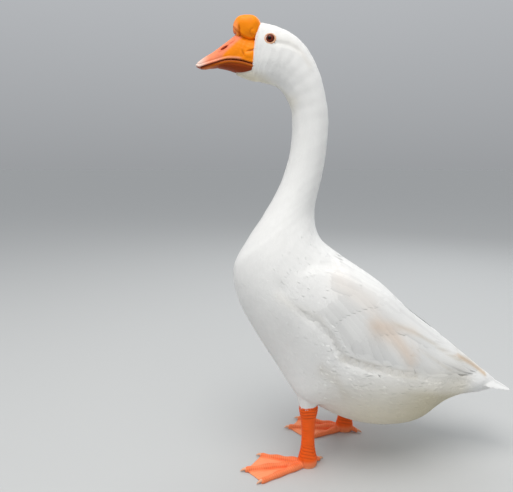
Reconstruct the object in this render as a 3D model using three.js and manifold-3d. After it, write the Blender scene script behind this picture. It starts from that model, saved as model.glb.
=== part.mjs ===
// Domestic goose of the knobbed (Chinese) breed, standing, life size, millimetres, +Z up.
// The bird faces -X, its left side is towards -Y, and it stands on the plane Z = 0.

import * as THREE from 'three';
import { mergeVertices } from 'three/addons/utils/BufferGeometryUtils.js';
import Module from 'manifold-3d';

const wasm = await Module();
wasm.setup();

// ---------------------------------------------------------------- driving sizes

const GAP = 0.35; // clearance between pieces that touch
const LEFT = -1; // sign of Y on the bird's left side
const RIGHT = 1;
const SIDES = [{ sign: LEFT, name: 'left' }, { sign: RIGHT, name: 'right' }];

// The body from the tip of the rump to the root of the bill, as a ladder of rungs.
// Each rung joins the line of the back to the line of the belly in the middle plane:
// back [x, z], belly [x, z], half width, drop of the widest level, squareness of the section.
const BODY = [
  { name: 'rump tip', back: [252, 133.5], belly: [250, 121], half: 12, low: 0.0, square: 2.0 },
  { name: 'rump', back: [214, 167], belly: [202, 115], half: 36, low: 0.05, square: 2.0 },
  { name: 'vent', back: [168, 205], belly: [146, 103], half: 58, low: 0.1, square: 2.1 },
  { name: 'loin', back: [120, 242], belly: [95, 71], half: 79, low: 0.1, square: 2.2 },
  { name: 'belly', back: [70, 285], belly: [40, 64], half: 94, low: 0.06, square: 2.3 },
  { name: 'flank', back: [22, 329], belly: [-12, 70], half: 101, low: 0.02, square: 2.3 },
  { name: 'hip', back: [-22, 357], belly: [-62, 88], half: 102, low: -0.02, square: 2.3 },
  { name: 'keel', back: [-54, 378], belly: [-106, 119], half: 98.5, low: -0.04, square: 2.2 },
  { name: 'low chest', back: [-71, 395], belly: [-146, 170], half: 92, low: -0.04, square: 2.1 },
  { name: 'chest', back: [-79, 412], belly: [-186, 232], half: 84, low: -0.02, square: 2.0 },
  { name: 'breast', back: [-82, 430], belly: [-215, 290], half: 73.5, low: 0.0, square: 2.0 },
  { name: 'neck root', back: [-82, 450], belly: [-222, 343], half: 61, low: 0.0, square: 2.0 },
  { name: 'lowest neck', back: [-78, 471], belly: [-200, 389], half: 50, low: 0.0, square: 2.0 },
  { name: 'low neck', back: [-72, 496], belly: [-169, 437], half: 40.5, low: 0.0, square: 2.0 },
  { name: 'mid neck', back: [-66, 528], belly: [-141, 489], half: 33, low: 0.0, square: 2.0 },
  { name: 'high neck', back: [-62.5, 564], belly: [-124.5, 546], half: 28.5, low: 0.0, square: 2.0 },
  { name: 'highest neck', back: [-62, 600], belly: [-122.5, 601], half: 26, low: 0.0, square: 2.0 },
  { name: 'nape', back: [-68, 636], belly: [-130, 626], half: 25.5, low: 0.0, square: 2.0 },
  { name: 'throat', back: [-79, 673], belly: [-142, 643], half: 26, low: 0.0, square: 2.0 },
  { name: 'hind crown', back: [-98, 708], belly: [-154, 650.5], half: 26.8, low: 0.04, square: 2.0 },
  { name: 'crown', back: [-121, 730], belly: [-166, 654], half: 27.2, low: 0.05, square: 2.1 },
  { name: 'brow', back: [-146, 742], belly: [-178, 657], half: 26, low: 0.06, square: 2.15 },
  { name: 'lore', back: [-165, 747], belly: [-186.5, 659.5], half: 23.5, low: 0.06, square: 2.2 },
  { name: 'bill root', back: [-180, 750], belly: [-193.5, 661.5], half: 20.5, low: 0.06, square: 2.2 },
];
const RING_SIDES = 22; // sides of one section of the body
const RINGS_PER_RUNG = 2;
const TRUNK_TOP = 10.55; // rungs where the lengths of the body meet
const NECK_MIDDLE = 14.2;
const NECK_TOP = 18.05;
const PARTING = 0.027; // share of a rung left open at each parting
const FACE_BLOCK = 120; // side of the block that stands for the head when the bill is trimmed to it

const EYE = { x: -160.2, y: 17.8, z: 719.8, radius: 7.4 };

// The folded wing: edges as [rung, angle from the middle of the back in degrees].
const WING = {
  front: 9.3,
  rear: 0.4,
  upper: [[9.4, 80], [8.2, 52], [6.5, 31], [5, 18], [3.5, 9], [2, 5], [0.1, 9]],
  lower: [[9.4, 95], [8.2, 101], [6.5, 96], [5, 88], [3.5, 76], [2.2, 80], [1.2, 96], [0.1, 110]],
  rise: 8, // height over the flank in the middle of the wing
  sink: 5.5, // depth of the bed in the flank
  edge: 3.2, // height and depth at the rims
  tips: 5, // feather points along the rear edge
  scallop: 0.3, // depth of those points, in rungs
  rearLag: [0.6, 1.4], // how far the rear edge stays forward at its upper and lower corners, in rungs
  spread: 0.06, // rungs added to the length of the bed of the wing
  flatRear: 0.6, // height at the rear as a share of the height in front
  stepsAlong: 15,
  stepsAcross: 8,
};

const TAIL = {
  root: 192,
  tip: 281,
  halfRoot: 30,
  half: 42,
  ridgeRoot: 171,
  ridgeTip: 117,
  arch: 27, // fall from the ridge to the outer feathers at the root
  rounding: 50, // how much shorter the outer feathers are
  roundness: 2.4, // powers for the rounded end, the flattening along the tail and the fall across it
  flatten: 0.8,
  fall: 1.6,
  thinEdge: 0.65, // thickness at the sides as a share of the middle
  thickRoot: 8,
  thickTip: 3.2,
  stepsAlong: 8,
  stepsAcross: 10,
};

const HOCK = 116; // height where the leg feathers end
const ANKLE = 15; // height of the top of the foot
const LEGS = [
  { sign: LEFT, name: 'left', x: -92.5, y: -56, turn: 10 },
  { sign: RIGHT, name: 'right', x: -7.5, y: 63, turn: 2 },
];
// Feathered thigh: height, centre behind and inside the shank, half length, half width.
const THIGH = [
  { z: 205, back: 24, out: 8, long: 26, wide: 20 },
  { z: 175, back: 17, out: 5, long: 34, wide: 26 },
  { z: 148, back: 10, out: 2, long: 32.5, wide: 22 },
  { z: 129, back: 3.5, out: 0, long: 23, wide: 17 },
  { z: HOCK, back: 0, out: 0, long: 17, wide: 14 },
];
// Bare shank: height, half length along the bird, half width.
const SHANK = [
  { z: HOCK - GAP, long: 15.4, wide: 12.6 },
  { z: 108, long: 16.6, wide: 13.6 },
  { z: 98, long: 15.6, wide: 12.6 },
  { z: 86, long: 13, wide: 10.6 },
  { z: 62, long: 11.4, wide: 9.2 },
  { z: 40, long: 12, wide: 9.8 },
  { z: 26, long: 14.2, wide: 11.6 },
  { z: ANKLE + GAP, long: 16.6, wide: 13.6 },
];

// Heel: height, half length, half width; it starts under the floor and is cut flat there.
const HEEL = [
  { z: -2, long: 15.4, wide: 12.4 },
  { z: 6, long: 17.2, wide: 14.2 },
  { z: ANKLE, long: 16.6, wide: 13.6 },
];
// Toes fan out from the heel; spread is measured outwards from the middle toe.
const TOES = [
  { name: 'inner', spread: -27, length: 86, girth: 6.2 },
  { name: 'middle', spread: 0, length: 111, girth: 7 },
  { name: 'outer', spread: 22, length: 97, girth: 6.8 },
];
const TOE_JOINTS = 4;
const TOE_SHAPE = { start: 9, startGirth: 1.5, root: 1.1, tip: 0.72, knuckle: 1.12, hollow: 0.9, sink: 0.72 };
const HIND_TOE = { spread: -158, root: 3, bend: 14, length: 27, girth: 4.6, height: 13 };
const CLAW = { length: 8.5, girth: 3, rootHeight: 4.3, middleHeight: 3.6, tipHeight: 1.2 };
const WEB = { thick: 2.4, fullness: 1.02, reach: 0.97 };
const FLOOR_BLOCK = { wide: 600, deep: 40 }; // trims the soles level

// Bill: the line of the mouth, the culmen over it and the keel of the jaw under it, as [x, z].
const MOUTH = [
  [-178, 680.5], [-192, 683.6], [-209, 688], [-229, 689.5],
  [-249, 685], [-266, 680.4], [-275, 678.4], [-282, 680.6],
];
const UPPER_BILL = [
  { x: -178, top: 722, half: 18.5 },
  { x: -193.5, top: 726, half: 18.6 },
  { x: -203, top: 730, half: 18.6 },
  { x: -213, top: 732, half: 18 },
  { x: -220, top: 727, half: 17.2 },
  { x: -230, top: 719.5, half: 16 },
  { x: -242, top: 711, half: 14.6 },
  { x: -254, top: 702.5, half: 13.6 },
  { x: -265, top: 696.5, half: 12.4 },
  { x: -273, top: 691, half: 10.4 },
  { x: -278.5, top: 687, half: 7.4 },
  { x: -281.2, top: 684.2, half: 3.6 },
];
const LOWER_BILL = [
  { x: -181, base: 672, half: 17.4 },
  { x: -192, base: 669.4, half: 17.6 },
  { x: -204, base: 668.4, half: 17.4 },
  { x: -215, base: 670.4, half: 16.4 },
  { x: -230, base: 675, half: 14.6 },
  { x: -246, base: 678, half: 12.8 },
  { x: -258, base: 678.4, half: 11.4 },
  { x: -267, base: 676.8, half: 9 },
  { x: -274, base: 676.4, half: 4.6 },
];
// Feathered wedge of the chin under the jaw: upper edge at its sides, half width and underside.
const CHIN = [
  { x: -181, edge: 677, half: 15, base: 655.5 },
  { x: -190, edge: 674.6, half: 13.6, base: 658 },
  { x: -198, edge: 672.6, half: 11.4, base: 660.6 },
  { x: -206, edge: 671.4, half: 8.6, base: 663.6 },
  { x: -212, edge: 671, half: 6, base: 665.8 },
  { x: -216.5, edge: 671, half: 2.4, base: 668.4 },
];
const ARCH = { upper: 0.8, lower: 0.6 }; // powers that round the bill's sections
const BILL_RING = { outside: 9, inside: 3, innerWidth: 0.9, innerRise: 0.8 };
const KNOB = { x: -197.2, z: 740, long: 22.6, wide: 18.8, high: 20.4, square: 2.5 };
const LUMP_SIDES = { knob: 16, nostril: 10, plain: 11 }; // sides of the rounded lumps
const OVAL_SIDES = { thigh: 14, shank: 12, heel: 12, toe: 6 };
const NOSTRIL = { x: -236.5, z: 707.5, out: 12.5, long: 6.5, wide: 4, high: 2.6, slope: 32 };

// ---------------------------------------------------------------- materials

function paint(color, roughness) {
  return new THREE.MeshStandardMaterial({ color, roughness, metalness: 0 });
}

const plumage = paint(0xf1efea, 0.85);
const quills = paint(0xf6f4f0, 0.7);
const legSkin = paint(0xf0652a, 0.6);
const billHorn = paint(0xf28a2a, 0.45);
const jawHorn = paint(0xd9651f, 0.5);
const knobSkin = paint(0xf58a1c, 0.5);
const clawHorn = paint(0xe9d3bd, 0.4);
const iris = paint(0x3a1c10, 0.1);

// ---------------------------------------------------------------- shaping tools

const radians = THREE.MathUtils.degToRad;
const mix = THREE.MathUtils.lerp;
const smooth = THREE.MathUtils.smoothstep;

// A sine or cosine bent so that it draws a squarer oval; 2 leaves it as it is.
function bent(value, square) {
  return Math.sign(value) * Math.abs(value) ** (2 / square);
}

function curveThrough(points) {
  return new THREE.CatmullRomCurve3(points, false, 'catmullrom', 0.5);
}

// Value at a position on the smooth line through [position, value] pairs in order.
function valueAlong(pairs, position) {
  const rising = pairs.at(-1)[0] > pairs[0][0];
  const passed = (pair) => (rising ? position >= pair[0] : position <= pair[0]);
  const i = Math.min(Math.max(pairs.findLastIndex(passed), 0), pairs.length - 2);
  const share = (position - pairs[i][0]) / (pairs[i + 1][0] - pairs[i][0]);
  const line = curveThrough(pairs.map((pair) => new THREE.Vector3(pair[1], 0, 0)));
  return line.getPoint(THREE.MathUtils.clamp((i + share) / (pairs.length - 1), 0, 1)).x;
}

function geometryOf(positions, triangles) {
  const geometry = new THREE.BufferGeometry();
  geometry.setAttribute('position', new THREE.Float32BufferAttribute(positions, 3));
  geometry.setIndex(triangles);
  return geometry;
}

function volumeOf(geometry) {
  const { array } = geometry.getAttribute('position');
  const index = geometry.getIndex().array;
  const [a, b, c] = [new THREE.Vector3(), new THREE.Vector3(), new THREE.Vector3()];
  let sum = 0;
  for (let i = 0; i < index.length; i += 3) {
    a.fromArray(array, index[i] * 3);
    b.fromArray(array, index[i + 1] * 3);
    c.fromArray(array, index[i + 2] * 3);
    sum += a.dot(b.cross(c)) / 6;
  }
  return sum;
}

function facingOut(geometry) {
  if (volumeOf(geometry) < 0) {
    const index = geometry.getIndex().array;
    for (let i = 0; i < index.length; i += 3) {
      const first = index[i];
      index[i] = index[i + 1];
      index[i + 1] = first;
    }
  }
  return geometry;
}

// A closed tube through rings of points, with a fan from the middle of each end ring.
function tube(rings) {
  const sides = rings[0].length;
  const positions = rings.flat().flatMap((point) => point.toArray());
  const triangles = [];
  for (let i = 0; i < rings.length - 1; i += 1) {
    for (let j = 0; j < sides; j += 1) {
      const a = i * sides + j;
      const b = i * sides + ((j + 1) % sides);
      triangles.push(a, b, b + sides, a, b + sides, a + sides);
    }
  }
  [0, rings.length - 1].forEach((end) => {
    const middle = rings[end].reduce((sum, point) => sum.add(point), new THREE.Vector3());
    const centre = positions.length / 3;
    positions.push(...middle.divideScalar(sides).toArray());
    for (let j = 0; j < sides; j += 1) {
      const a = end * sides + j;
      const b = end * sides + ((j + 1) % sides);
      triangles.push(...(end === 0 ? [centre, b, a] : [centre, a, b]));
    }
  });
  return facingOut(geometryOf(positions, triangles));
}

// A closed slab between two faces that are functions of the same pair of shares.
function slab(topFace, underFace, stepsAlong, stepsAcross) {
  const positions = [];
  const triangles = [];
  const columns = stepsAcross + 1;
  const layer = (stepsAlong + 1) * columns;
  [topFace, underFace].forEach((face) => {
    for (let i = 0; i <= stepsAlong; i += 1) {
      for (let j = 0; j <= stepsAcross; j += 1) {
        positions.push(...face(i / stepsAlong, j / stepsAcross).toArray());
      }
    }
  });
  for (let i = 0; i < stepsAlong; i += 1) {
    for (let j = 0; j < stepsAcross; j += 1) {
      const a = i * columns + j;
      const b = a + layer;
      triangles.push(a, a + columns, a + columns + 1, a, a + columns + 1, a + 1);
      triangles.push(b, b + columns + 1, b + columns, b, b + 1, b + columns + 1);
    }
  }
  const rim = [];
  for (let j = 0; j < stepsAcross; j += 1) rim.push(j);
  for (let i = 0; i < stepsAlong; i += 1) rim.push(i * columns + stepsAcross);
  for (let j = stepsAcross; j > 0; j -= 1) rim.push(stepsAlong * columns + j);
  for (let i = stepsAlong; i > 0; i -= 1) rim.push(i * columns);
  rim.forEach((a, k) => {
    const b = rim[(k + 1) % rim.length];
    triangles.push(a, b, b + layer, a, b + layer, a + layer);
  });
  return facingOut(geometryOf(positions, triangles));
}

// A lump with three half sizes, turned about the Y axis and set at a place; square 2 is an ellipsoid.
function lump(halves, turn, place, detail = LUMP_SIDES.plain, square = 2) {
  const geometry = new THREE.SphereGeometry(1, detail, Math.round(detail * 0.7));
  const position = geometry.getAttribute('position');
  position.array.forEach((value, i) => {
    position.array[i] = bent(value, square);
  });
  geometry.scale(...halves);
  geometry.rotateY(radians(turn));
  geometry.translate(...place);
  return geometry;
}

function solidOf(geometry) {
  const plain = geometry.clone();
  plain.deleteAttribute('normal');
  plain.deleteAttribute('uv');
  const merged = mergeVertices(plain, 1e-4);
  return new wasm.Manifold(new wasm.Mesh({
    numProp: 3,
    vertProperties: new Float32Array(merged.getAttribute('position').array),
    triVerts: new Uint32Array(merged.getIndex().array),
  }));
}

function geometryFrom(solid) {
  const mesh = solid.getMesh();
  return geometryOf(Array.from(mesh.vertProperties), Array.from(mesh.triVerts));
}

function cutBy(geometry, cutters) {
  const left = cutters.reduce((solid, cutter) => solid.subtract(solidOf(cutter)), solidOf(geometry));
  return geometryFrom(left);
}

function joined(geometries) {
  return geometryFrom(geometries.map(solidOf).reduce((whole, part) => whole.add(part)));
}

// ---------------------------------------------------------------- body surface

const inMiddle = ([x, z]) => new THREE.Vector3(x, 0, z);
const backLine = curveThrough(BODY.map((rung) => inMiddle(rung.back)));
const bellyLine = curveThrough(BODY.map((rung) => inMiddle(rung.belly)));
const girthLine = curveThrough(BODY.map((rung) => new THREE.Vector3(rung.half, rung.low, rung.square)));
const LAST_RUNG = BODY.length - 1;

// Point on the body: rung counts from the rump, angle runs from the back over the left side.
function bodyPoint(rung, angle) {
  const share = THREE.MathUtils.clamp(rung / LAST_RUNG, 0, 1);
  const back = backLine.getPoint(share);
  const belly = bellyLine.getPoint(share);
  const { x: half, y: low, z: square } = girthLine.getPoint(share);
  const side = bent(Math.sin(angle), square);
  const level = bent(Math.cos(angle), square) - low * side * side;
  const point = back.clone().add(belly).multiplyScalar(0.5);
  point.addScaledVector(back.sub(belly).multiplyScalar(0.5), level);
  point.y = LEFT * half * side;
  return point;
}

function bodyNormal(rung, angle) {
  const step = 0.02;
  const lengthwise = bodyPoint(rung + step, angle).sub(bodyPoint(rung - step, angle));
  const around = bodyPoint(rung, angle + step).sub(bodyPoint(rung, angle - step));
  return lengthwise.cross(around).normalize();
}

function bodyLength(from, to) {
  const count = Math.round((to - from) * RINGS_PER_RUNG);
  const rings = [];
  for (let i = 0; i <= count; i += 1) {
    const rung = mix(from, to, i / count);
    const angles = Array.from({ length: RING_SIDES }, (_, j) => (j / RING_SIDES) * 2 * Math.PI);
    rings.push(angles.map((angle) => bodyPoint(rung, angle)));
  }
  return tube(rings);
}

// ---------------------------------------------------------------- wings

// One face of a folded wing; lift is 1 on the outside and -1 in its bed on the flank.
function wingFace(sign, lift, spare) {
  return (a, b) => {
    const scallop = WING.scallop * Math.abs(Math.sin(Math.PI * WING.tips * b));
    const [upperLag, lowerLag] = WING.rearLag;
    const lag = upperLag * (1 - smooth(b, 0, 0.3)) + (lowerLag - WING.scallop) * smooth(b, 0.35, 1);
    const rear = WING.rear + lag + WING.scallop - scallop;
    const rung = mix(WING.front, rear, a) + spare * (0.5 - a) * WING.spread;
    const upper = valueAlong(WING.upper, rung) - spare * 0.6;
    const lower = valueAlong(WING.lower, rung) + spare * 0.6;
    const angle = radians(mix(upper, lower, b));
    const bulge = Math.sqrt(4 * b * (1 - b)) * Math.min(1, 4 * a + 0.2);
    const full = lift > 0 ? WING.rise : WING.sink;
    const height = mix(WING.edge, full, bulge) * mix(1, WING.flatRear, smooth(a, 0.5, 1)) + spare * GAP;
    const point = bodyPoint(rung, angle).addScaledVector(bodyNormal(rung, angle), lift * height);
    point.y *= sign * LEFT;
    return point;
  };
}

function wing(sign, spare = 0) {
  return slab(wingFace(sign, 1, spare), wingFace(sign, -1, spare), WING.stepsAlong, WING.stepsAcross);
}

// ---------------------------------------------------------------- tail

function tailFace(lift, spare) {
  return (a, b) => {
    const across = 2 * b - 1;
    const end = TAIL.tip - TAIL.rounding * Math.abs(across) ** TAIL.roundness;
    const x = mix(TAIL.root, end, a) + spare * (2 * a - 1) * GAP;
    const share = THREE.MathUtils.clamp((x - TAIL.root) / (TAIL.tip - TAIL.root), 0, 1);
    const fall = TAIL.arch * (1 - share) ** TAIL.flatten * Math.abs(across) ** TAIL.fall;
    const thick = mix(TAIL.thickRoot, TAIL.thickTip, share) * mix(1, TAIL.thinEdge, across * across);
    const z = mix(TAIL.ridgeRoot, TAIL.ridgeTip, share) - thick / 2 - fall;
    const half = mix(TAIL.halfRoot, TAIL.half, Math.sqrt(share)) + spare * GAP;
    return new THREE.Vector3(x, half * across, z + lift * (thick / 2 + spare * 2 * GAP));
  };
}

function tail(spare = 0) {
  return slab(tailFace(1, spare), tailFace(-1, spare), TAIL.stepsAlong, TAIL.stepsAcross);
}

// ---------------------------------------------------------------- bill

// One section of a bill half: an arch over the line of the mouth and a shallow hollow inside it.
function billRing(section, arch, floor, up) {
  const { outside, inside, innerWidth, innerRise } = BILL_RING;
  const ring = [];
  for (let j = 0; j <= outside; j += 1) {
    const angle = mix(-Math.PI / 2, Math.PI / 2, j / outside);
    const rise = Math.max(0, Math.cos(angle)) ** arch;
    ring.push(new THREE.Vector3(section.x, section.half * Math.sin(angle), floor + up * rise));
  }
  for (let j = 1; j < inside; j += 1) {
    const across = section.half * innerWidth * mix(1, -1, j / inside);
    ring.push(new THREE.Vector3(section.x, across, floor + Math.sign(up) * innerRise));
  }
  return ring;
}

function upperBill(spare = 0) {
  return tube(UPPER_BILL.map((section) => {
    const floor = valueAlong(MOUTH, section.x) + GAP / 2;
    const grown = { x: section.x, half: section.half + spare * GAP };
    return billRing(grown, ARCH.upper, floor, section.top - floor + spare * GAP);
  }));
}

function lowerBill() {
  return tube(LOWER_BILL.map((section) => {
    const roof = valueAlong(MOUTH, section.x) - GAP / 2;
    return billRing(section, ARCH.lower, roof, section.base - roof);
  }));
}

// Everything behind the slanting face where the feathers of the head end.
function behindFace() {
  const [topX, topZ] = BODY[LAST_RUNG].back;
  const [lowX, lowZ] = BODY[LAST_RUNG].belly;
  const block = new THREE.BoxGeometry(FACE_BLOCK, FACE_BLOCK, FACE_BLOCK);
  block.translate(FACE_BLOCK / 2 - GAP, 0, 0);
  block.rotateY(Math.atan2(topX - lowX, topZ - lowZ));
  block.translate((topX + lowX) / 2, 0, (topZ + lowZ) / 2);
  return block;
}

// The chin's wedge, larger all round where it makes room in the jaw.
function chinWedge(spare = 0) {
  return tube(CHIN.map((section, i) => {
    const edge = section.edge + spare * GAP;
    const x = section.x - spare * GAP * (i === CHIN.length - 1);
    const half = section.half + spare * GAP;
    return billRing({ x, half }, ARCH.lower, edge, section.base - spare * GAP - edge);
  }));
}

function nostril(sign) {
  const halves = [NOSTRIL.long, NOSTRIL.wide, NOSTRIL.high];
  return lump(halves, NOSTRIL.slope, [NOSTRIL.x, sign * NOSTRIL.out, NOSTRIL.z], LUMP_SIDES.nostril);
}

function knob() {
  const halves = [KNOB.long, KNOB.wide, KNOB.high];
  const swelling = lump(halves, 0, [KNOB.x, 0, KNOB.z], LUMP_SIDES.knob, KNOB.square);
  return cutBy(swelling, [behindFace(), upperBill(1)]);
}

// ---------------------------------------------------------------- legs

function oval(x, y, z, long, wide, sides) {
  return Array.from({ length: sides }, (_, j) => {
    const angle = (j / sides) * 2 * Math.PI;
    return new THREE.Vector3(x + long * Math.cos(angle), y + wide * Math.sin(angle), z);
  });
}

function thigh(leg, spare = 0) {
  const last = THIGH.length - 1;
  return tube(THIGH.map((level, i) => oval(
    leg.x + level.back,
    leg.y + leg.sign * level.out,
    level.z + spare * GAP * ((i === 0) - (i === last)),
    level.long + spare * GAP,
    level.wide + spare * GAP,
    OVAL_SIDES.thigh,
  )));
}

function shank(leg, spare = 0) {
  return tube(SHANK.map((level) => oval(
    leg.x, leg.y, level.z, level.long + spare * GAP, level.wide + spare * GAP, OVAL_SIDES.shank,
  )));
}

// A toe or claw lying along +U from the heel: rings at [distance, height, radius].
function fingerAlong(heading, stations) {
  const sides = OVAL_SIDES.toe;
  const forward = new THREE.Vector3(-Math.cos(heading), Math.sin(heading), 0);
  const sideways = new THREE.Vector3(forward.y, -forward.x, 0);
  return tube(stations.map(([distance, height, radius]) => Array.from({ length: sides }, (_, j) => {
    const angle = (j / sides) * 2 * Math.PI;
    const point = forward.clone().multiplyScalar(distance);
    point.addScaledVector(sideways, radius * Math.cos(angle));
    point.z = height + radius * Math.sin(angle);
    return point;
  })));
}

function toe(heading, { length, girth }) {
  const stations = [[0, TOE_SHAPE.start, girth * TOE_SHAPE.startGirth]];
  for (let k = 1; k <= TOE_JOINTS; k += 1) {
    const share = k / TOE_JOINTS;
    const swell = k % 2 ? TOE_SHAPE.hollow : TOE_SHAPE.knuckle;
    const radius = girth * mix(TOE_SHAPE.root, TOE_SHAPE.tip, share) * swell;
    stations.push([length * share, radius * TOE_SHAPE.sink, radius]);
  }
  return fingerAlong(heading, stations);
}

function belowFloor() {
  const block = new THREE.BoxGeometry(FLOOR_BLOCK.wide, FLOOR_BLOCK.wide, FLOOR_BLOCK.deep);
  block.translate(0, 0, -FLOOR_BLOCK.deep / 2);
  return block;
}

// Web between the toes, its free edge nearly straight from tip to tip.
function web(headings) {
  const tip = (k, share) => {
    const reach = TOES[k].length * share;
    return [-Math.cos(headings[k]) * reach, Math.sin(headings[k]) * reach];
  };
  const between = (k) => {
    const [a, b] = [tip(k, 1), tip(k + 1, 1)];
    return [((a[0] + b[0]) / 2) * WEB.fullness, ((a[1] + b[1]) / 2) * WEB.fullness];
  };
  const outline = new THREE.Shape();
  outline.moveTo(...tip(0, 0.05));
  outline.lineTo(...tip(0, WEB.reach));
  outline.quadraticCurveTo(...between(0), ...tip(1, WEB.reach));
  outline.quadraticCurveTo(...between(1), ...tip(2, WEB.reach));
  outline.lineTo(...tip(2, 0.05));
  return new THREE.ExtrudeGeometry(outline, { depth: WEB.thick, bevelEnabled: false, curveSegments: 4 });
}

function placed(geometry, leg) {
  return geometry.translate(leg.x, leg.y, 0);
}

function headingOf(leg, spread) {
  return leg.sign * radians(leg.turn + spread);
}

function foot(leg) {
  const headings = TOES.map((part) => headingOf(leg, part.spread));
  const hind = headingOf(leg, HIND_TOE.spread);
  const heel = tube(HEEL.map((level) => oval(0, 0, level.z, level.long, level.wide, OVAL_SIDES.heel)));
  const hindToe = fingerAlong(hind, [
    [HIND_TOE.root, HIND_TOE.height, HIND_TOE.girth * 1.2],
    [HIND_TOE.bend, HIND_TOE.height * 0.75, HIND_TOE.girth * 1.1],
    [HIND_TOE.length, HIND_TOE.girth * 0.7, HIND_TOE.girth * 0.85],
  ]);
  const flesh = joined([heel, web(headings), hindToe, ...TOES.map((part, k) => toe(headings[k], part))]);
  return cutBy(placed(flesh, leg), [belowFloor(), shank(leg, 1)]);
}

function clawAt(leg, spread, start) {
  const { length, girth } = CLAW;
  const stations = [
    [start, CLAW.rootHeight, girth],
    [start + length * 0.55, CLAW.middleHeight, girth * 0.75],
    [start + length, CLAW.tipHeight, girth * 0.25],
  ];
  return placed(cutBy(fingerAlong(headingOf(leg, spread), stations), [belowFloor()]), leg);
}

// ---------------------------------------------------------------- assembly

const goose = new THREE.Group();
const pieces = new THREE.Group();
goose.add(pieces);

function piece(name, geometry, material) {
  const mesh = new THREE.Mesh(geometry, material);
  mesh.name = name;
  pieces.add(mesh);
}

const wingBeds = SIDES.map(({ sign }) => wing(sign, 1));
const legHoles = LEGS.flatMap((leg) => [thigh(leg, 1), shank(leg, 1)]);
piece('trunk', cutBy(bodyLength(0, TRUNK_TOP), [...wingBeds, tail(1), ...legHoles]), plumage);
piece('neck_lower', bodyLength(TRUNK_TOP + PARTING, NECK_MIDDLE), plumage);
piece('neck_upper', bodyLength(NECK_MIDDLE + PARTING, NECK_TOP), plumage);

const sockets = SIDES.map(({ sign }) => {
  const radius = EYE.radius + GAP;
  return lump([radius, radius, radius], 0, [EYE.x, sign * EYE.y, EYE.z]);
});
piece('head', cutBy(joined([bodyLength(NECK_TOP + PARTING, LAST_RUNG), chinWedge()]), sockets), plumage);

piece('bill_upper', cutBy(upperBill(), [behindFace(), ...SIDES.map(({ sign }) => nostril(sign))]), billHorn);
piece('bill_lower', cutBy(lowerBill(), [behindFace(), chinWedge(1)]), jawHorn);
piece('bill_knob', knob(), knobSkin);

SIDES.forEach(({ sign, name }) => {
  const ball = lump([EYE.radius, EYE.radius, EYE.radius], 0, [EYE.x, sign * EYE.y, EYE.z]);
  piece(`eye_${name}`, ball, iris);
  piece(`wing_${name}`, wing(sign), quills);
});
piece('tail', cutBy(tail(), wingBeds), quills);

LEGS.forEach((leg) => {
  piece(`thigh_${leg.name}`, thigh(leg), plumage);
  piece(`shank_${leg.name}`, shank(leg), legSkin);
  piece(`foot_${leg.name}`, foot(leg), legSkin);
  TOES.forEach((part) => {
    piece(`claw_${leg.name}_${part.name}`, clawAt(leg, part.spread, part.length + GAP), clawHorn);
  });
  piece(`claw_${leg.name}_hind`, clawAt(leg, HIND_TOE.spread, HIND_TOE.length + GAP), clawHorn);
});

// The middle of the box under the bird becomes the origin.
const box = new THREE.Box3().setFromObject(pieces);
const middle = box.getCenter(new THREE.Vector3());
pieces.position.set(-middle.x, -middle.y, -box.min.z);

export default goose;
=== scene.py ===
"""A life-size standing goose of the knobbed breed, dressed feather by feather over its solids.

The bird faces -X and its left side is towards -Y. Places are in metres, in the solids' own frame,
and the bird's own measures are in millimetres until framed() puts them there.
"""

import bpy
import numpy as np
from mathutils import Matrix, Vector


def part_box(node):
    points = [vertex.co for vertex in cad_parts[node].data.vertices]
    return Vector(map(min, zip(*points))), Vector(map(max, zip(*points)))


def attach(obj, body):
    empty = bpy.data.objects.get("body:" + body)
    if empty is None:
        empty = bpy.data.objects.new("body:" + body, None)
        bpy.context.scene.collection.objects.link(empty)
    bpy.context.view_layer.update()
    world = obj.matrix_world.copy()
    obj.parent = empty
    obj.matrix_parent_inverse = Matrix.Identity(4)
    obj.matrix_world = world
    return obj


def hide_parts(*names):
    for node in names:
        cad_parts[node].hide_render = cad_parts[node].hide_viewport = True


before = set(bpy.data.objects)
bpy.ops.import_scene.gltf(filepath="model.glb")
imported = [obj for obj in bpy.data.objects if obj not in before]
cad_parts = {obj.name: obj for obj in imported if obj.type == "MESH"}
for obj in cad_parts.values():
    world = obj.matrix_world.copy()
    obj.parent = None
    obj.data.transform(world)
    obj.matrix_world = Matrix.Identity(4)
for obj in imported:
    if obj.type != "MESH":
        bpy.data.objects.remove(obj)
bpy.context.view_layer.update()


# ---------------------------------------------------------------- body form
# The outer form of the feathered bird, from rump to bill: a loft through oval sections, with the
# swell of the folded wing, the side's feathers that lap over it and the softness of plumage on it.
# Feathers are laid on this form, and the skin lies a coat's depth inside it.

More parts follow.
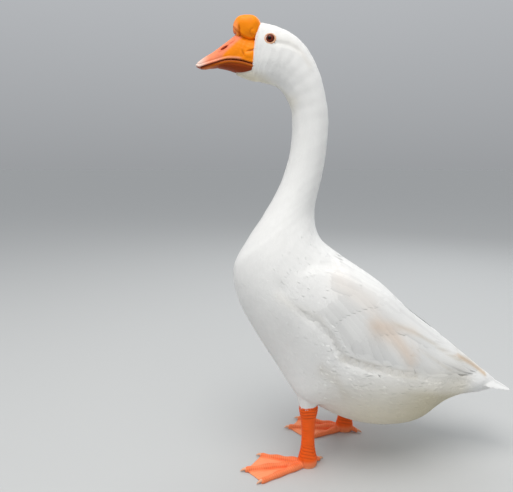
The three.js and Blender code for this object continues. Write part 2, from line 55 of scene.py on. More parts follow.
# Rungs from the rump to the bill, in mm: back x, back z, belly x, belly z, half width, and then the
# drop of the widest level as a share, and the squareness of the section.
RUNGS = np.array([
    [252, 133.5, 250, 121, 12, 0, 2],
    [214, 167, 202, 115, 36, 0.05, 2],
    [168, 205, 146, 103, 58, 0.1, 2.1],
    [120, 242, 95, 71, 79, 0.1, 2.2],
    [70, 285, 40, 64, 94, 0.06, 2.3],
    [22, 329, -12, 70, 101, 0.02, 2.3],
    [-22, 357, -62, 88, 102, -0.02, 2.3],
    [-54, 378, -106, 119, 98.5, -0.04, 2.2],
    [-71, 395, -146, 170, 92, -0.04, 2.1],
    [-79, 412, -186, 232, 84, -0.02, 2],
    [-82, 430, -215, 290, 73.5, 0, 2],
    [-82, 450, -222, 343, 61, 0, 2],
    [-78, 471, -200, 389, 50, 0, 2],
    [-72, 496, -169, 437, 40.5, 0, 2],
    [-66, 528, -141, 489, 33, 0, 2],
    [-62.5, 564, -124.5, 546, 28.5, 0, 2],
    [-62, 600, -122.5, 601, 26, 0, 2],
    [-68, 636, -130, 626, 25.5, 0, 2],
    [-79, 673, -142, 643, 26, 0, 2],
    [-98, 708, -154, 650.5, 26.8, 0.04, 2],
    [-121, 730, -166, 654, 27.2, 0.05, 2.1],
    [-146, 742, -178, 657, 26, 0.06, 2.15],
    [-165, 747, -186.5, 659.5, 23.5, 0.06, 2.2],
    [-180, 750, -193.5, 661.5, 20.5, 0.06, 2.2],
])
LAST_RUNG = len(RUNGS) - 1
TRUNK_TOP = 10.55  # rungs where the neck leaves the trunk, halves, and joins the head
NECK_MIDDLE = 14.2
NECK_TOP = 18.05

# The bird's own middle and measures are shifted to the frame's origin by what the eye and knob say.
EYE = np.array([-160.2, 17.8, 719.8])
EYE_RADIUS = 7.4
knob_low, knob_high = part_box("bill_knob")
eye_low, eye_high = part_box("eye_left")
SHIFT = np.array([(eye_low.x + eye_high.x) / 2 - EYE[0] / 1000,
                  (knob_low.y + knob_high.y) / 2, 0.0])
LEFT, RIGHT = -1, 1
LEGS = {"left": (LEFT, -92.5, -56, 10), "right": (RIGHT, -7.5, 63, 2)}  # side, x, y and turn
HOCK = 116  # height of the lowest feathers


def smooth(value, start, end):
    """0 before start, 1 after end, and 3t^2 - 2t^3 between them."""
    t = np.clip((value - start) / (end - start), 0, 1)
    return t * t * (3 - 2 * t)


def fade(value, start, end):
    """1 before start and 0 after end."""
    return 1 - smooth(value, start, end)


def bell(value, width):
    """1 at 0, falling to either side as e to the minus square of value over width."""
    return np.exp(-(value / width) ** 2)


def round_turn(count):
    """So many angles, evenly round a full turn."""
    return np.arange(count) / count * 2 * np.pi


def mix(a, b, share):
    return a + (b - a) * share


def layered(paint, *coats):
    """A colour with others laid over it one by one, each by its share at every point."""
    for colour, share in coats:
        paint = mix(paint, colour, np.asarray(share)[..., None])
    return paint


def stacked(*parts):
    return np.stack(parts, -1)


def parted(values):
    return np.moveaxis(values, -1, 0)


def unit(vectors):
    return vectors / np.maximum(np.linalg.norm(vectors, axis=-1, keepdims=True), 1e-12)


def framed(points):
    """Points in the bird's own millimetres, put into the frame in metres."""
    return np.asarray(points, float) / 1000 + SHIFT


def line_through(rows, at):
    """Smooth line through rows at stations 0, 1, 2 and on: the cubic whose slope at a row is half
    the step between its neighbours, with the row beyond each end mirrored through that end."""
    rows = np.asarray(rows, float)
    last = len(rows) - 1
    rows = np.vstack([2 * rows[:1] - rows[1:2], rows, 2 * rows[-1:] - rows[-2:-1]])
    at = np.clip(np.asarray(at, float), 0, last)
    k = np.minimum(at.astype(int), last - 1)
    t = (at - k)[..., None]
    before, a, b, after = (rows[k + i] for i in range(4))
    bend = 2 * before - 5 * a + 4 * b - after
    twist = 3 * a - before - 3 * b + after
    return a + ((b - before) * t + bend * t ** 2 + twist * t ** 3) / 2


def bent(value, square):
    return np.sign(value) * np.abs(value) ** (2 / square)


def body_at(rung, angle):
    """Point of the feathered outline: across a rung the section is a rounded square between back
    and belly, and angle runs from the middle of the back over the left side, in radians. Towards
    the bill the section draws in round it, and over the left leg the belly runs down into the
    thigh."""
    values = parted(line_through(RUNGS, rung))
    drawn_in = 1 - 0.17 * smooth(rung, LAST_RUNG - 0.5, LAST_RUNG) ** 2
    back, belly = values[[0, 1]], values[[2, 3]]
    half, low, square = values[4:]
    side = bent(np.sin(angle), square)
    level = (bent(np.cos(angle), square) - low * side ** 2) * drawn_in
    x, z = (back + belly) / 2 + (back - belly) / 2 * level
    points = stacked(x, -half * side * drawn_in, z)
    for _, leg_x, leg_y, _ in LEGS.values():
        near = bell(x - leg_x - 5, 38) * bell(points[..., 1] - leg_y, 34)
        points[..., 2] -= np.clip(z - HOCK - 3, 0, 60) * near * smooth(z, 235, 165)
    return framed(points)


def degrees_down(angle):
    """Degrees from the middle of the back, the same on both sides."""
    return np.degrees(np.abs((angle + np.pi) % (2 * np.pi) - np.pi))


def grid_normals(points, closed=True):
    """Outward normals of a grid of points, whose second direction may close on itself."""
    along = np.gradient(points, axis=0)
    if closed:
        around = np.roll(points, -1, 1) - np.roll(points, 1, 1)
    else:
        around = np.gradient(points, axis=1)
    return unit(np.cross(along, around))


class Surface:
    """A surface over two measures, kept as a fine grid of places and outward normals and read
    between them. The first measure runs against the lie of the feathers; the second goes round and
    may be closed."""

    def __init__(self, point_at, first, second=(0, 2 * np.pi), steps=(460, 300), closed=True,
                 rise=None):
        self.first, self.second, self.closed = first, second, closed
        self.start = np.array([first[0], second[0]])
        self.span = np.array([first[1], second[1]]) - self.start
        self.counts = np.array([steps[0], steps[1] if closed else steps[1] - 1])
        one, two = np.meshgrid(np.linspace(*first, steps[0] + 1),
                               np.linspace(*second, steps[1], endpoint=not closed), indexing="ij")
        points = point_at(one, two)
        if rise is not None:
            points = points + grid_normals(points, closed) * rise(one, degrees_down(two))[..., None]
        self.grid = np.concatenate([points, grid_normals(points, closed)], -1)

    def shares(self, place):
        """The two measures as shares of their spans."""
        return (place - self.start) / self.span

    def read(self, place):
        """Places and normals there, by the weighted mean of the four grid points round each,
        carried straight on beyond the ends of the first measure."""
        u, v = parted(self.shares(place) * self.counts)
        inside = np.clip(u, 0, self.counts[0] - 0.001)
        i = inside.astype(int)
        f = (inside - i)[..., None]
        v = v % self.counts[1] if self.closed else np.clip(v, 0, self.counts[1] - 0.001)
        j = np.minimum(v.astype(int), self.counts[1] - 1)
        g = (v - j)[..., None]
        k = (j + 1) % self.counts[1] if self.closed else j + 1
        low = mix(self.grid[i, j], self.grid[i, k], g)
        high = mix(self.grid[i + 1, j], self.grid[i + 1, k], g)
        value = mix(low, high, f)
        beyond = (u - inside)[..., None]
        return value[..., :3] + beyond * (high - low)[..., :3], unit(value[..., 3:])

    def slopes(self, place):
        """How a place moves with each of the two measures."""
        here, _ = self.read(place)
        nudge = 0.002 * self.span
        along = (self.read(place + nudge * [1, 0])[0] - here) / nudge[0]
        around = (self.read(place + nudge * [0, 1])[0] - here) / nudge[1]
        return here, along, around

    def step_for(self, place, push):
        """The change of the two measures that moves a place by push, which lies along the
        surface."""
        _, along, around = self.slopes(place)
        pairs = (along, along), (along, around), (around, around)
        e, f, g = (np.sum(a * b, -1) for a, b in pairs)
        a, b = np.sum(push * along, -1), np.sum(push * around, -1)
        det = np.maximum(e * g - f * f, 1e-12)
        return stacked((g * a - f * b) / det, (e * b - f * a) / det)


def wing_edges(rung):
    """Upper and lower edge of the folded wing at a rung, in degrees from the middle of the back."""
    upper = np.interp(rung, [0.1, 2, 3.5, 5, 6.5, 8.2, 9.4], [9, 5, 9, 18, 31, 52, 80])
    lower = np.interp(rung, [0.1, 1.2, 2.2, 3.5, 5, 6, 6.7, 7.4, 8.4, 9.4],
                      [94, 84, 77, 79, 90, 93, 86, 86, 93, 98])
    return upper, lower


def over_wing(rung, degrees):
    """Share of the way over the folded wing, from its upper to its lower edge."""
    upper, lower = wing_edges(rung)
    return (degrees - upper) / (lower - upper)


WING_FRONT, WING_RUNGS = 9.3, 8.9  # rung of the shoulder, and how many rungs the wing covers


def wing_rise(rung, degrees):
    """Height of the folded wing over the flank, in metres: highest in the middle, easing into the
    shoulder feathers above, and ending in a step along its lower edge."""
    across = over_wing(rung, degrees)
    along = (WING_FRONT - rung) / WING_RUNGS
    bulge = np.sqrt(np.clip(4 * across * (1 - across), 0, 1)) * np.clip(4 * along, 0, 1)
    height = mix(2.6, 7.5, bulge) * mix(1, 0.35, smooth(along, 0.5, 0.95))
    ends = smooth(along, -0.02, 0.16) * fade(along, 0.82, 0.94)
    return height / 1000 * smooth(across, -0.1, 0.25) * ends


LAP_EDGE = np.array([[2, 75], [2.33, 75.5], [3.22, 77.5], [3.79, 81], [4.35, 85.5], [5.15, 90.5],
                     [6.06, 94.5], [6.55, 88], [7.2, 86], [8.4, 92.5], [9.2, 98], [9.8, 96]])


def below_lap(rung, degrees):
    """Degrees below the line where feathers of side and flank lap up over the wing."""
    return degrees - np.interp(rung, *LAP_EDGE.T)


def side_rise(rung, degrees):
    """Height of those feathers, in metres: a full soft swell just below the line, least at the
    notch between the side's and the flank's, and dying away towards tail and breast. A crease parts
    the flank from the wing over it, and a small hollow lies in front of the wing's bend."""
    below = below_lap(rung, degrees)
    crease = -0.0008 * bell(below + 3, 3) * smooth(rung, 2.2, 3.4) * fade(rung, 6, 6.6)
    hollow = -0.0025 * bell(rung - 9.3, 0.3) * bell(degrees - 98, 6)
    full = np.interp(rung, [1.8, 2.6, 3.6, 4.8, 5.6, 6.1, 6.5, 8.6, 9.8],
                     [0, 1.5, 4, 6.5, 6, 3.5, 4.4, 3.2, 0])
    swell = full / 1000 * smooth(below, -4, 4.5) * fade(below, 7, 36)
    return swell + crease + hollow


def face_rise(rung, degrees):
    """Depth of the soft groove that runs back from the eye over the cheek, in metres."""
    groove = bell(degrees - np.interp(rung, [19, 20, 21], [50, 60, 71]), 7)
    return -0.0015 * groove * smooth(rung, 18.6, 19.6) * fade(rung, 20.6, 21.2)


def waves(rung, degrees):
    """Soft swells of the plumage, in metres: three slow waves across one another on the trunk,
    dying away towards the breast, and small ones on neck and head."""
    turn = np.radians(degrees)
    swell = np.sin(3.1 * rung + 2.3 * turn) + np.sin(5.3 * turn - 1.7 * rung + 1)
    swell = swell + np.sin(4.3 * rung - 3.9 * turn + 2)
    small = np.sin(4.1 * rung + 6 * turn) * np.sin(5.2 * rung - 4 * turn + 1)
    on_neck = smooth(rung, 8, 11) * fade(rung, 22, 23)
    return 0.0006 * swell * fade(rung, 5.5, 9) + 0.0003 * small * on_neck


def body_rise(rung, degrees):
    return side_rise(rung, degrees) + face_rise(rung, degrees) + waves(rung, degrees)


def winged_rise(rung, degrees):
    """The body with its folded wing, which ends at its lower edge."""
    wing = wing_rise(rung, degrees) * fade(over_wing(rung, degrees), 0.96, 1.02)
    side = side_rise(rung, degrees)
    over = np.where(side < 0, wing + side, np.maximum(wing, side))
    return over + face_rise(rung, degrees) + waves(rung, degrees)


body = Surface(body_at, (0, LAST_RUNG), rise=body_rise)
winged = Surface(body_at, (0, LAST_RUNG), rise=winged_rise)


CHEEK = 21.0, 1.2  # rung and angle beside the eye


def face_place(x, z, side):
    """The place on the head's side seen at x and z, by eight Newton steps from the cheek."""
    target = framed(stacked(x, np.zeros_like(x), z))
    place = stacked(np.full(np.shape(x), CHEEK[0]), np.full(np.shape(x), -CHEEK[1] * side))
    for _ in range(8):
        here, along, around = body.slopes(place)
        pull = stacked(along, around)[..., [0, 2], :]
        place = place + np.linalg.solve(pull, (target - here)[..., [0, 2], None])[..., 0]
    return place


eye_place = face_place(np.array(EYE[0]), np.array(EYE[2]), LEFT)
SOCKET_DEPTH, SOCKET_FLOOR, SOCKET_RIM = 0.006, 0.0055, 0.0095  # the last two are radii


def bedded_rise(rung, degrees):
    """The body with the wing's thick front part in it, without the free blades behind, and dented
    round each eye to make room for ball and lids."""
    shoulder = smooth(rung, 3.6, 5.2)
    _, along, around = body.slopes(eye_place)
    away = np.hypot((rung - eye_place[0]) * np.linalg.norm(along),
                    np.radians(degrees - np.degrees(eye_place[1])) * np.linalg.norm(around))
    socket = -SOCKET_DEPTH * fade(away, SOCKET_FLOOR, SOCKET_RIM)
    return mix(body_rise(rung, degrees), winged_rise(rung, degrees), shoulder) + socket


bedded = Surface(body_at, (0, LAST_RUNG), rise=bedded_rise)


# ---------------------------------------------------------------- thighs and chin
# The feathered thighs hang from the belly down to the hocks, and a wedge of feathered skin fills
# the fork of the lower jaw. Each is a form of its own that runs into the body's.

# Feathered thigh from the hock up, in mm: height, centre behind and outside the shank, half length
# and half width.
THIGH = np.array([
    [HOCK, 0, 0, 17, 14],
    [129, 3.5, 0, 23, 17],
    [148, 10, 2, 32.5, 22],
    [175, 17, 5, 34, 26],
    [205, 24, 8, 26, 20],
])


def thigh_at(leg):
    side, x, y, _ = LEGS[leg]

    def point_at(level, angle):
        """An oval section at each level, turning from behind over the outer side."""
        height, back, out, long, wide = parted(line_through(THIGH, level))
        across = y + side * out - wide * np.sin(angle)
        return framed(stacked(x + back + long * np.cos(angle), across, height))

    return Surface(point_at, (0, len(THIGH) - 1), steps=(80, 60))


thighs = {leg: thigh_at(leg) for leg in LEGS}

# The chin's wedge under the jaw, in mm: x, upper edge at its sides, half width, underside.
CHIN = np.array([
    [-181, 677, 15, 655.5], [-190, 674.6, 13.6, 658], [-198, 672.6, 11.4, 660.6],
    [-206, 671.4, 8.6, 663.6], [-212, 671, 6, 665.8], [-216.5, 671, 2.4, 668.4],
])


def chin_at(row, angle):
    """The wedge's sections: the underside rounds down as the cosine to the power 0.6."""
    x, edge, half, base = parted(line_through(CHIN, row))
    under = np.clip(-np.cos(angle), 0, 1) ** 0.6
    lid = np.clip(np.cos(angle), 0, 1)
    return framed(stacked(x, -half * np.sin(angle), edge + lid + (base - edge) * under))


chin = Surface(chin_at, (0, len(CHIN) - 1), steps=(60, 60))


# ---------------------------------------------------------------- skin
# The skin of a real goose is thin and pale. Here it is one closed surface with no seam, fused from
# closed tubes through body, chin and thighs, hidden under the feathers and painted as they are.

def add_object(name, data):
    thing = bpy.data.objects.new(name, data)
    bpy.context.scene.collection.objects.link(thing)
    return thing


def set_paint(mesh, colours):
    """Keeps a colour for each point of a mesh."""
    rows = np.concatenate([colours, np.ones((len(colours), 1))], 1).astype(np.float32)
    layer = mesh.color_attributes.new("paint", "FLOAT_COLOR", "POINT")
    layer.data.foreach_set("color", rows.ravel())


def add_piece(name, points, face_sets, material, slot, flat=0, maps=None, paint=None):
    """Adds an object from points and sets of equal-sided faces, of which the last `flat` sets are
    shaded flat. Maps hold a UV pair for each point, and paint a colour."""
    mesh = bpy.data.meshes.new(name)
    faces = [np.asarray(f, np.int32) for f in face_sets]
    corners = np.concatenate([f.ravel() for f in faces])
    sizes = np.concatenate([np.full(len(f), f.shape[1]) for f in faces])
    mesh.vertices.add(len(points))
    mesh.vertices.foreach_set("co", np.asarray(points, np.float32).ravel())
    mesh.loops.add(len(corners))
    mesh.loops.foreach_set("vertex_index", corners)
    mesh.polygons.add(len(sizes))
    starts = np.concatenate([[0], np.cumsum(sizes)[:-1]]).astype(np.int32)
    mesh.polygons.foreach_set("loop_start", starts)
    mesh.update(calc_edges=True)
    sharp = np.concatenate([np.full(len(f), k >= len(faces) - flat) for k, f in enumerate(faces)])
    mesh.polygons.foreach_set("use_smooth", ~sharp)
    if flat:
        edges = np.zeros(len(corners), np.int32)
        mesh.loops.foreach_get("edge_index", edges)
        crease = np.zeros(len(mesh.edges), bool)
        crease[edges[np.repeat(sharp, sizes)]] = True
        mesh.attributes.new("sharp_edge", "BOOLEAN", "EDGE").data.foreach_set("value", crease)
    for label, values in (maps or {}).items():
        pairs = np.asarray(values, np.float32)[corners]
        mesh.uv_layers.new(name=label).data.foreach_set("uv", pairs.ravel())
    if paint is not None:
        set_paint(mesh, paint)
    mesh.materials.append(material)
    piece = add_object(name, mesh)
    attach(piece, "root")
    return piece


def tube_faces(rings, sides):
    """Faces of a tube of rings, and of its two ends, wound so that they face out where the rings
    turn as the surfaces above do."""
    cell = np.arange(rings * sides).reshape(rings, sides)
    around = np.roll(cell, -1, 1)
    walls = stacked(cell[:-1], cell[1:], around[1:], around[:-1]).reshape(-1, 4)
    return walls, np.stack([cell[0], cell[-1, ::-1]])


def outward(points, face_sets):
    """The faces turned so that their volume, a third of place times area summed, is above 0."""
    total = 0
    for faces in face_sets:
        corners = points[faces]
        middle = corners.mean(1, keepdims=True)
        spokes = corners - middle
        area = np.cross(spokes, np.roll(spokes, -1, 1)).sum(1) / 2
        total += np.sum(middle[:, 0] * area)
    return face_sets if total > 0 else [faces[:, ::-1] for faces in face_sets]


def joined(parts):
    """Closed parts, each points and face sets, as one such pair with all faces outwards."""
    points, face_sets = [], []
    for part_points, part_faces in parts:
        start = sum(len(p) for p in points)
        face_sets += [faces + start for faces in outward(part_points, part_faces)]
        points.append(part_points)
    return np.concatenate(points), face_sets


def surface_tube(surface, rings, sides, depth):
    """The surface as a closed tube, sunk by a depth that may change with the first measure."""
    first = np.linspace(*surface.first, rings)
    second = round_turn(sides)
    points, normal = surface.read(np.stack(np.meshgrid(first, second, indexing="ij"), -1))
    return (points - normal * np.reshape(depth(first), (-1, 1, 1))).reshape(-1, 3)


def coat_length(rung):
    """Length of a contour feather, in metres: long over rump and belly, tiny round the bill."""
    lengths = [24, 25, 24, 18, 15, 11.5, 8.5, 6.2, 4.8, 3.8, 3]
    return np.interp(rung, [0, 2, 5, 8, 10, 12, 15, 18, 19.5, 21, 23], lengths) / 1000


def fused(piece, voxel, rounds):
    """Joins the closed parts of a piece into one skin by a voxel remesh, evens it out, and gives
    its mesh and points."""
    remesh = piece.modifiers.new("fuse", "REMESH")
    remesh.mode = "VOXEL"
    remesh.voxel_size = voxel
    remesh.use_smooth_shade = True
    even = piece.modifiers.new("even", "SMOOTH")
    even.factor, even.iterations = 0.5, rounds
    bpy.context.view_layer.update()
    shaped = piece.evaluated_get(bpy.context.evaluated_depsgraph_get())
    mesh = bpy.data.meshes.new_from_object(shaped)
    piece.modifiers.clear()
    piece.data = mesh
    points = np.zeros(len(mesh.vertices) * 3, np.float32)
    mesh.vertices.foreach_get("co", points)
    return mesh, points.reshape(-1, 3)


def set_inputs(tree, node, inputs):
    """Sets a node's inputs: a value is kept there, and another node's socket is linked."""
    for name, value in inputs.items():
        if isinstance(value, bpy.types.NodeSocket):
            tree.links.new(value, node.inputs[name])
        else:
            node.inputs[name].default_value = value


def add_node(tree, kind, inputs=None):
    node = tree.nodes.new(kind)
    set_inputs(tree, node, inputs or {})
    return node


def add_math(tree, operation, *values):
    node = add_node(tree, "ShaderNodeMath", dict(enumerate(values)))
    node.operation = operation
    return node.outputs[0]


def add_bump(tree, shader, height, strength, distance, invert=False):
    inputs = {"Height": height, "Strength": strength, "Distance": distance}
    bump = add_node(tree, "ShaderNodeBump", inputs)
    bump.invert = invert
    set_inputs(tree, shader, {"Normal": bump.outputs["Normal"]})


def noise_paint(tree, shader, roughness, patch_scale, patch_depth):
    """Colour from the piece's own paint, with slow darker and lighter patches over it."""
    place = add_node(tree, "ShaderNodeTexCoord").outputs["Object"]
    patches = add_node(tree, "ShaderNodeTexNoise", {
        "Vector": place, "Scale": patch_scale, "Detail": 4})
    span = add_node(tree, "ShaderNodeMapRange", {
        "Value": patches.outputs["Fac"], "To Min": 1 - patch_depth, "To Max": 1 + patch_depth})
    paint = add_node(tree, "ShaderNodeVertexColor")
    paint.layer_name = "paint"
    tint = add_node(tree, "ShaderNodeVectorMath")
    tint.operation = "SCALE"
    set_inputs(tree, tint, {"Vector": paint.outputs["Color"], "Scale": span.outputs["Result"]})
    set_inputs(tree, shader, {"Base Color": tint.outputs["Vector"], "Roughness": roughness})
    return place


def new_material(name):
    material = bpy.data.materials.new(name)
    material.use_nodes = True
    return material, material.node_tree, material.node_tree.nodes["Principled BSDF"]


BARB_PITCH = 0.0006  # metres from barb to barb


def feather_material(name, roughness, barb_depth):
    """Feather white from the paint, with slanting barbs as bump along each vane and a sheen."""
    material, tree, shader = new_material(name)
    noise_paint(tree, shader, roughness, 16, 0.04)
    set_inputs(tree, shader, {"Sheen Weight": 0.2, "Sheen Roughness": 0.5})
    vane = add_node(tree, "ShaderNodeUVMap")
    vane.uv_map = "Vane"
    split = add_node(tree, "ShaderNodeSeparateXYZ", {"Vector": vane.outputs["UV"]})
    aside = add_math(tree, "ABSOLUTE", split.outputs["X"])
    slant = add_math(tree, "SUBTRACT", split.outputs["Y"], aside)
    wave = add_math(tree, "SINE", add_math(tree, "MULTIPLY", slant, 2 * np.pi / BARB_PITCH))
    add_bump(tree, shader, wave, 1, barb_depth)
    return material


WHITE = np.array([0.90, 0.895, 0.875])
CREAM = np.array([0.76, 0.67, 0.46])
PEACH = np.array([0.86, 0.68, 0.53])
# Brown for painted shade in the plumage's creases and hollows.
SHADE_BROWN = np.array([0.50, 0.42, 0.28])
# Orange brown for a line along the edge of the wing's tips.
ORANGE_BROWN = np.array([0.62, 0.42, 0.22])
# Painted shade in olive brown round the vent and under the tail, below an edge given as x, z in mm.
VENT_SHADE = np.array([0.46, 0.40, 0.23])
VENT_SHADE_EDGE = np.array([[0, 150], [61, 164], [102, 155], [136, 143], [171, 130], [215, 113]])
# Edge under the jaw below which painted shade lies, as x, z in mm.
JAW_EDGE = np.array([[-215, 676], [-190, 670], [-170, 660], [-150, 646], [-130, 628]])

# Marks on the side of the plumage: colour, strength, width, and the line each follows, in mm. The
# brown ones are painted shade: in the crease under the wing and at its front, between thigh and
# flank, along the quills' edges and in the hollow behind the eye.
MARKS = [
    (SHADE_BROWN, 0.34, 6, [[-44, 216], [-2, 205], [38, 192], [78, 181]]),  # crease under the wing
    (SHADE_BROWN, 0.12, 7, [[-146, 312], [-121, 296], [-80, 279], [-59, 245], [-44, 219]]),  # its front
    (SHADE_BROWN, 0.2, 9, [[-76, 194], [-52, 177], [-38, 150]]),  # between thigh and flank
    (SHADE_BROWN, 0.4, 2.4, [[44, 265], [77, 249], [113, 226], [144, 203], [167, 190]]),  # quills' edges
    (SHADE_BROWN, 0.22, 2.4, [[78, 226], [109, 205], [132, 188], [148, 177]]),
    (ORANGE_BROWN, 0.75, 3.2, [[168, 195], [196, 176], [226, 152]]),
    (PEACH, 0.6, 13, [[11, 266], [39, 249], [66, 213]]),  # rusty bloom on the coverts
    (PEACH, 0.3, 7, [[0, 270], [44, 262], [77, 249]]),
    (PEACH, 0.2, 15, [[-50, 338], [0, 300]]),
    (SHADE_BROWN, 0.14, 7, [[-151, 718], [-126, 712], [-110, 700], [-98, 680]]),  # hollow behind the eye
]


def near_line(x, z, line, width):
    """1 on a falling line in the side view, fading over the width round it."""
    line = np.array(line, float)
    fall = (line[0, 1] - line[-1, 1]) / (line[-1, 0] - line[0, 0])
    away = (z - np.interp(x, line[:, 0], line[:, 1])) / np.hypot(1, fall)
    beyond = np.maximum(0, np.maximum(line[0, 0] - x, x - line[-1, 0]))
    return bell(np.hypot(away, beyond), width)


def plumage_paint(points):
    """White everywhere, turning cream on the belly by how low a point is, partly the feathers' own
    tint and partly painted shade with a painted warm reflection from below; painted shade in cream
    under the jaw and in olive brown round the vent, by how far a point lies below their edges; and
    the marks of the side over it, most of them painted shade."""
    x, _, z = parted((points - SHIFT) * 1000)
    # Cream by how low a point is: partly the belly feathers' own tint, partly painted shade with a
    # painted warm reflection from below.
    under = smooth(z, 215, 95) * smooth(x, -130, 20) * fade(x, 165, 205)
    # Painted shade in cream under the jaw, growing below its edge.
    below_jaw = np.interp(x, *JAW_EDGE.T) - z
    throat_shade = smooth(below_jaw, -14, 12) * smooth(z, 585, 640) * smooth(-x, 105, 135)
    below_edge = np.interp(x, *VENT_SHADE_EDGE.T) - z
    # Painted shade round the vent, by how far a point lies below its edge.
    vent_shade = smooth(below_edge, -4, 16) * smooth(x, 15, 120) * fade(x, 205, 235)
    marks = [(colour, strength * near_line(x, z, line, width))
             for colour, strength, width, line in MARKS]
    return layered(WHITE, (CREAM, 0.68 * under + 0.68 * throat_shade), (VENT_SHADE, 0.58 * vent_shade), *marks)


soft_white = feather_material("soft_white", 0.8, 0.00004)

# Surface, rings, sides and depth under the feathered outline, in metres.
skin_parts = [(bedded, 300, 120, lambda rung: coat_length(rung) * 0.045 + 0.0001),
              (chin, 24, 32, lambda row: np.full_like(row, 0.0003))]
skin_parts += [(thighs[leg], 24, 40, lambda level: np.full_like(level, 0.0012)) for leg in LEGS]
tubes = [(surface_tube(*part), tube_faces(*part[1:3])) for part in skin_parts]
skin = add_piece("skin", *joined(tubes), soft_white, "plumage")
skin_mesh, skin_points = fused(skin, voxel=0.003, rounds=2)
set_paint(skin_mesh, plumage_paint(skin_points))
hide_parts("trunk", "neck_lower", "neck_upper", "head", "thigh_left", "thigh_right")


# ---------------------------------------------------------------- contour feathers
# Small curved feathers cover the bird from bill to tail, each rooted in the skin and lying over the
# next. They are tiny on head and neck, round on the breast, and long and loose on the belly.

def vane_faces(count, rows, columns):
    """Faces of closed vanes, each a grid of rows by columns on top with a plain underside."""
    start = (np.arange(count) * rows * columns)[:, None, None]
    cell = np.arange(rows * columns).reshape(rows, columns)
    top = stacked(cell[:-1, :-1], cell[1:, :-1], cell[1:, 1:], cell[:-1, 1:]).reshape(-1, 4)
    under = stacked(cell[:-1, 0], cell[:-1, -1], cell[1:, -1], cell[1:, 0])
    ends = np.stack([cell[0], cell[-1, ::-1]])
    return [(start + faces).reshape(-1, faces.shape[1]) for faces in (top, under, ends)]


def each(values):
    """One value for each feather, or the same for all, ready to meet a grid of rows and columns."""
    return np.reshape(values, (-1, 1, 1))


def vanes(surface, roots, tips, width, rise, camber, outline, across, lift=0.0, fray=0.08,
          blunt=0.15, skew=0.0, roll=0.0, shaft=0.0, bow=0.0):
    """Feathers laid on a surface. The middle line of each runs from root to tip, and a point at
    share s along and t across (-1 to 1) lies t + skew t^2 half widths aside, times the outline at
    s. It is raised by lift + rise s + camber (1 - t^2) + roll t + 4 bow s (1 - s), with the shaft
    as a narrow ridge at t = 0. Towards the tip a column falls short by blunt t^2 and by fray |t| at
    random, as barbs part."""
    share, swell = np.array(outline).T
    across = np.asarray(across)
    short = blunt * across ** 2 + fray * np.abs(across) * fraying.random((len(roots), len(across)))
    share = share[None, :, None] * (1 - short[:, None])
    ends = (tips - roots)[:, None, None]
    line = roots[:, None, None] + ends * share[..., None]
    here, normal = surface.read(line)
    sideways = np.cross(normal, unit(surface.read(line + ends * 0.02)[0] - here))
    reach = each(width) / 2 * swell[:, None] * (across + each(skew) * across ** 2)
    points, normal = surface.read(line + surface.step_for(line, sideways) * reach[..., None])
    height = each(lift) + each(rise) * share + each(camber) * swell[:, None] * (1 - across ** 2)
    height = height + each(roll) * across + shaft * bell(across, 0.09) * (1 - share)
    height = height + 4 * bow * share * (1 - share)
    points = points + normal * height[..., None]
    patch = stacked(share - 0.5, np.broadcast_to(across / 2, share.shape)) * 0.003
    bake = 0.01 + 0.98 * (surface.shares(roots) % 1)[:, None, None] + patch
    middle = here[:, :, len(across) // 2]
    length = np.linalg.norm(middle[:, -1] - middle[:, 0], axis=-1)
    barbs = stacked(reach, each(length) * share)
    faces = vane_faces(len(roots), share.shape[1], len(across))
    maps = {"OFBake": bake.reshape(-1, 2), "Vane": barbs.reshape(-1, 2)}
    return points.reshape(-1, 3), faces, maps


# The first two powers of the inverse of the plastic number: their multiples fill a square evenly.
EVEN_STEPS = (0.7548776662466927, 0.5698402909980532)


def sow(surface, low, high, room, keep):
    """Roots spread evenly over the surface between two values of its first measure, each with its
    own room in square metres: the points of an even two-way sequence, shared out by the area of
    each cell of a grid over the room that a feather there takes."""
    rungs, turns = np.linspace(low, high, 181), np.linspace(*surface.second, 241)
    rung, angle = np.meshgrid((rungs[1:] + rungs[:-1]) / 2, (turns[1:] + turns[:-1]) / 2,
                              indexing="ij")
    _, along, around = surface.slopes(stacked(rung, angle))
    area = np.linalg.norm(np.cross(along, around), axis=-1)
    area = area * (rungs[1] - rungs[0]) * (turns[1] - turns[0])
    crowd = area / room(rung, angle) * keep(rung, angle) + 1e-12
    count = int(crowd.sum())
    first, second = ((0.5 + np.arange(count) * step) % 1 for step in EVEN_STEPS)
    shares = np.concatenate([[0], np.cumsum(crowd.sum(1))]) / crowd.sum()
    at_rung = np.interp(first, shares, rungs)
    row = np.clip(np.searchsorted(rungs, at_rung) - 1, 0, len(rungs) - 2)
    ladder = np.concatenate([np.zeros((len(crowd), 1)), np.cumsum(crowd, 1)], 1)
    ladder = ladder / crowd.sum(1, keepdims=True)
    stairs = (ladder[:, 1:] + np.arange(len(crowd))[:, None]).ravel()
    column = np.searchsorted(stairs, row + second) - row * crowd.shape[1]
    column = np.clip(column, 0, crowd.shape[1] - 1)
    inside = (second - ladder[row, column]) / (ladder[row, column + 1] - ladder[row, column])
    at_angle = turns[column] + inside * (turns[1] - turns[0])
    return stacked(at_rung, at_angle)


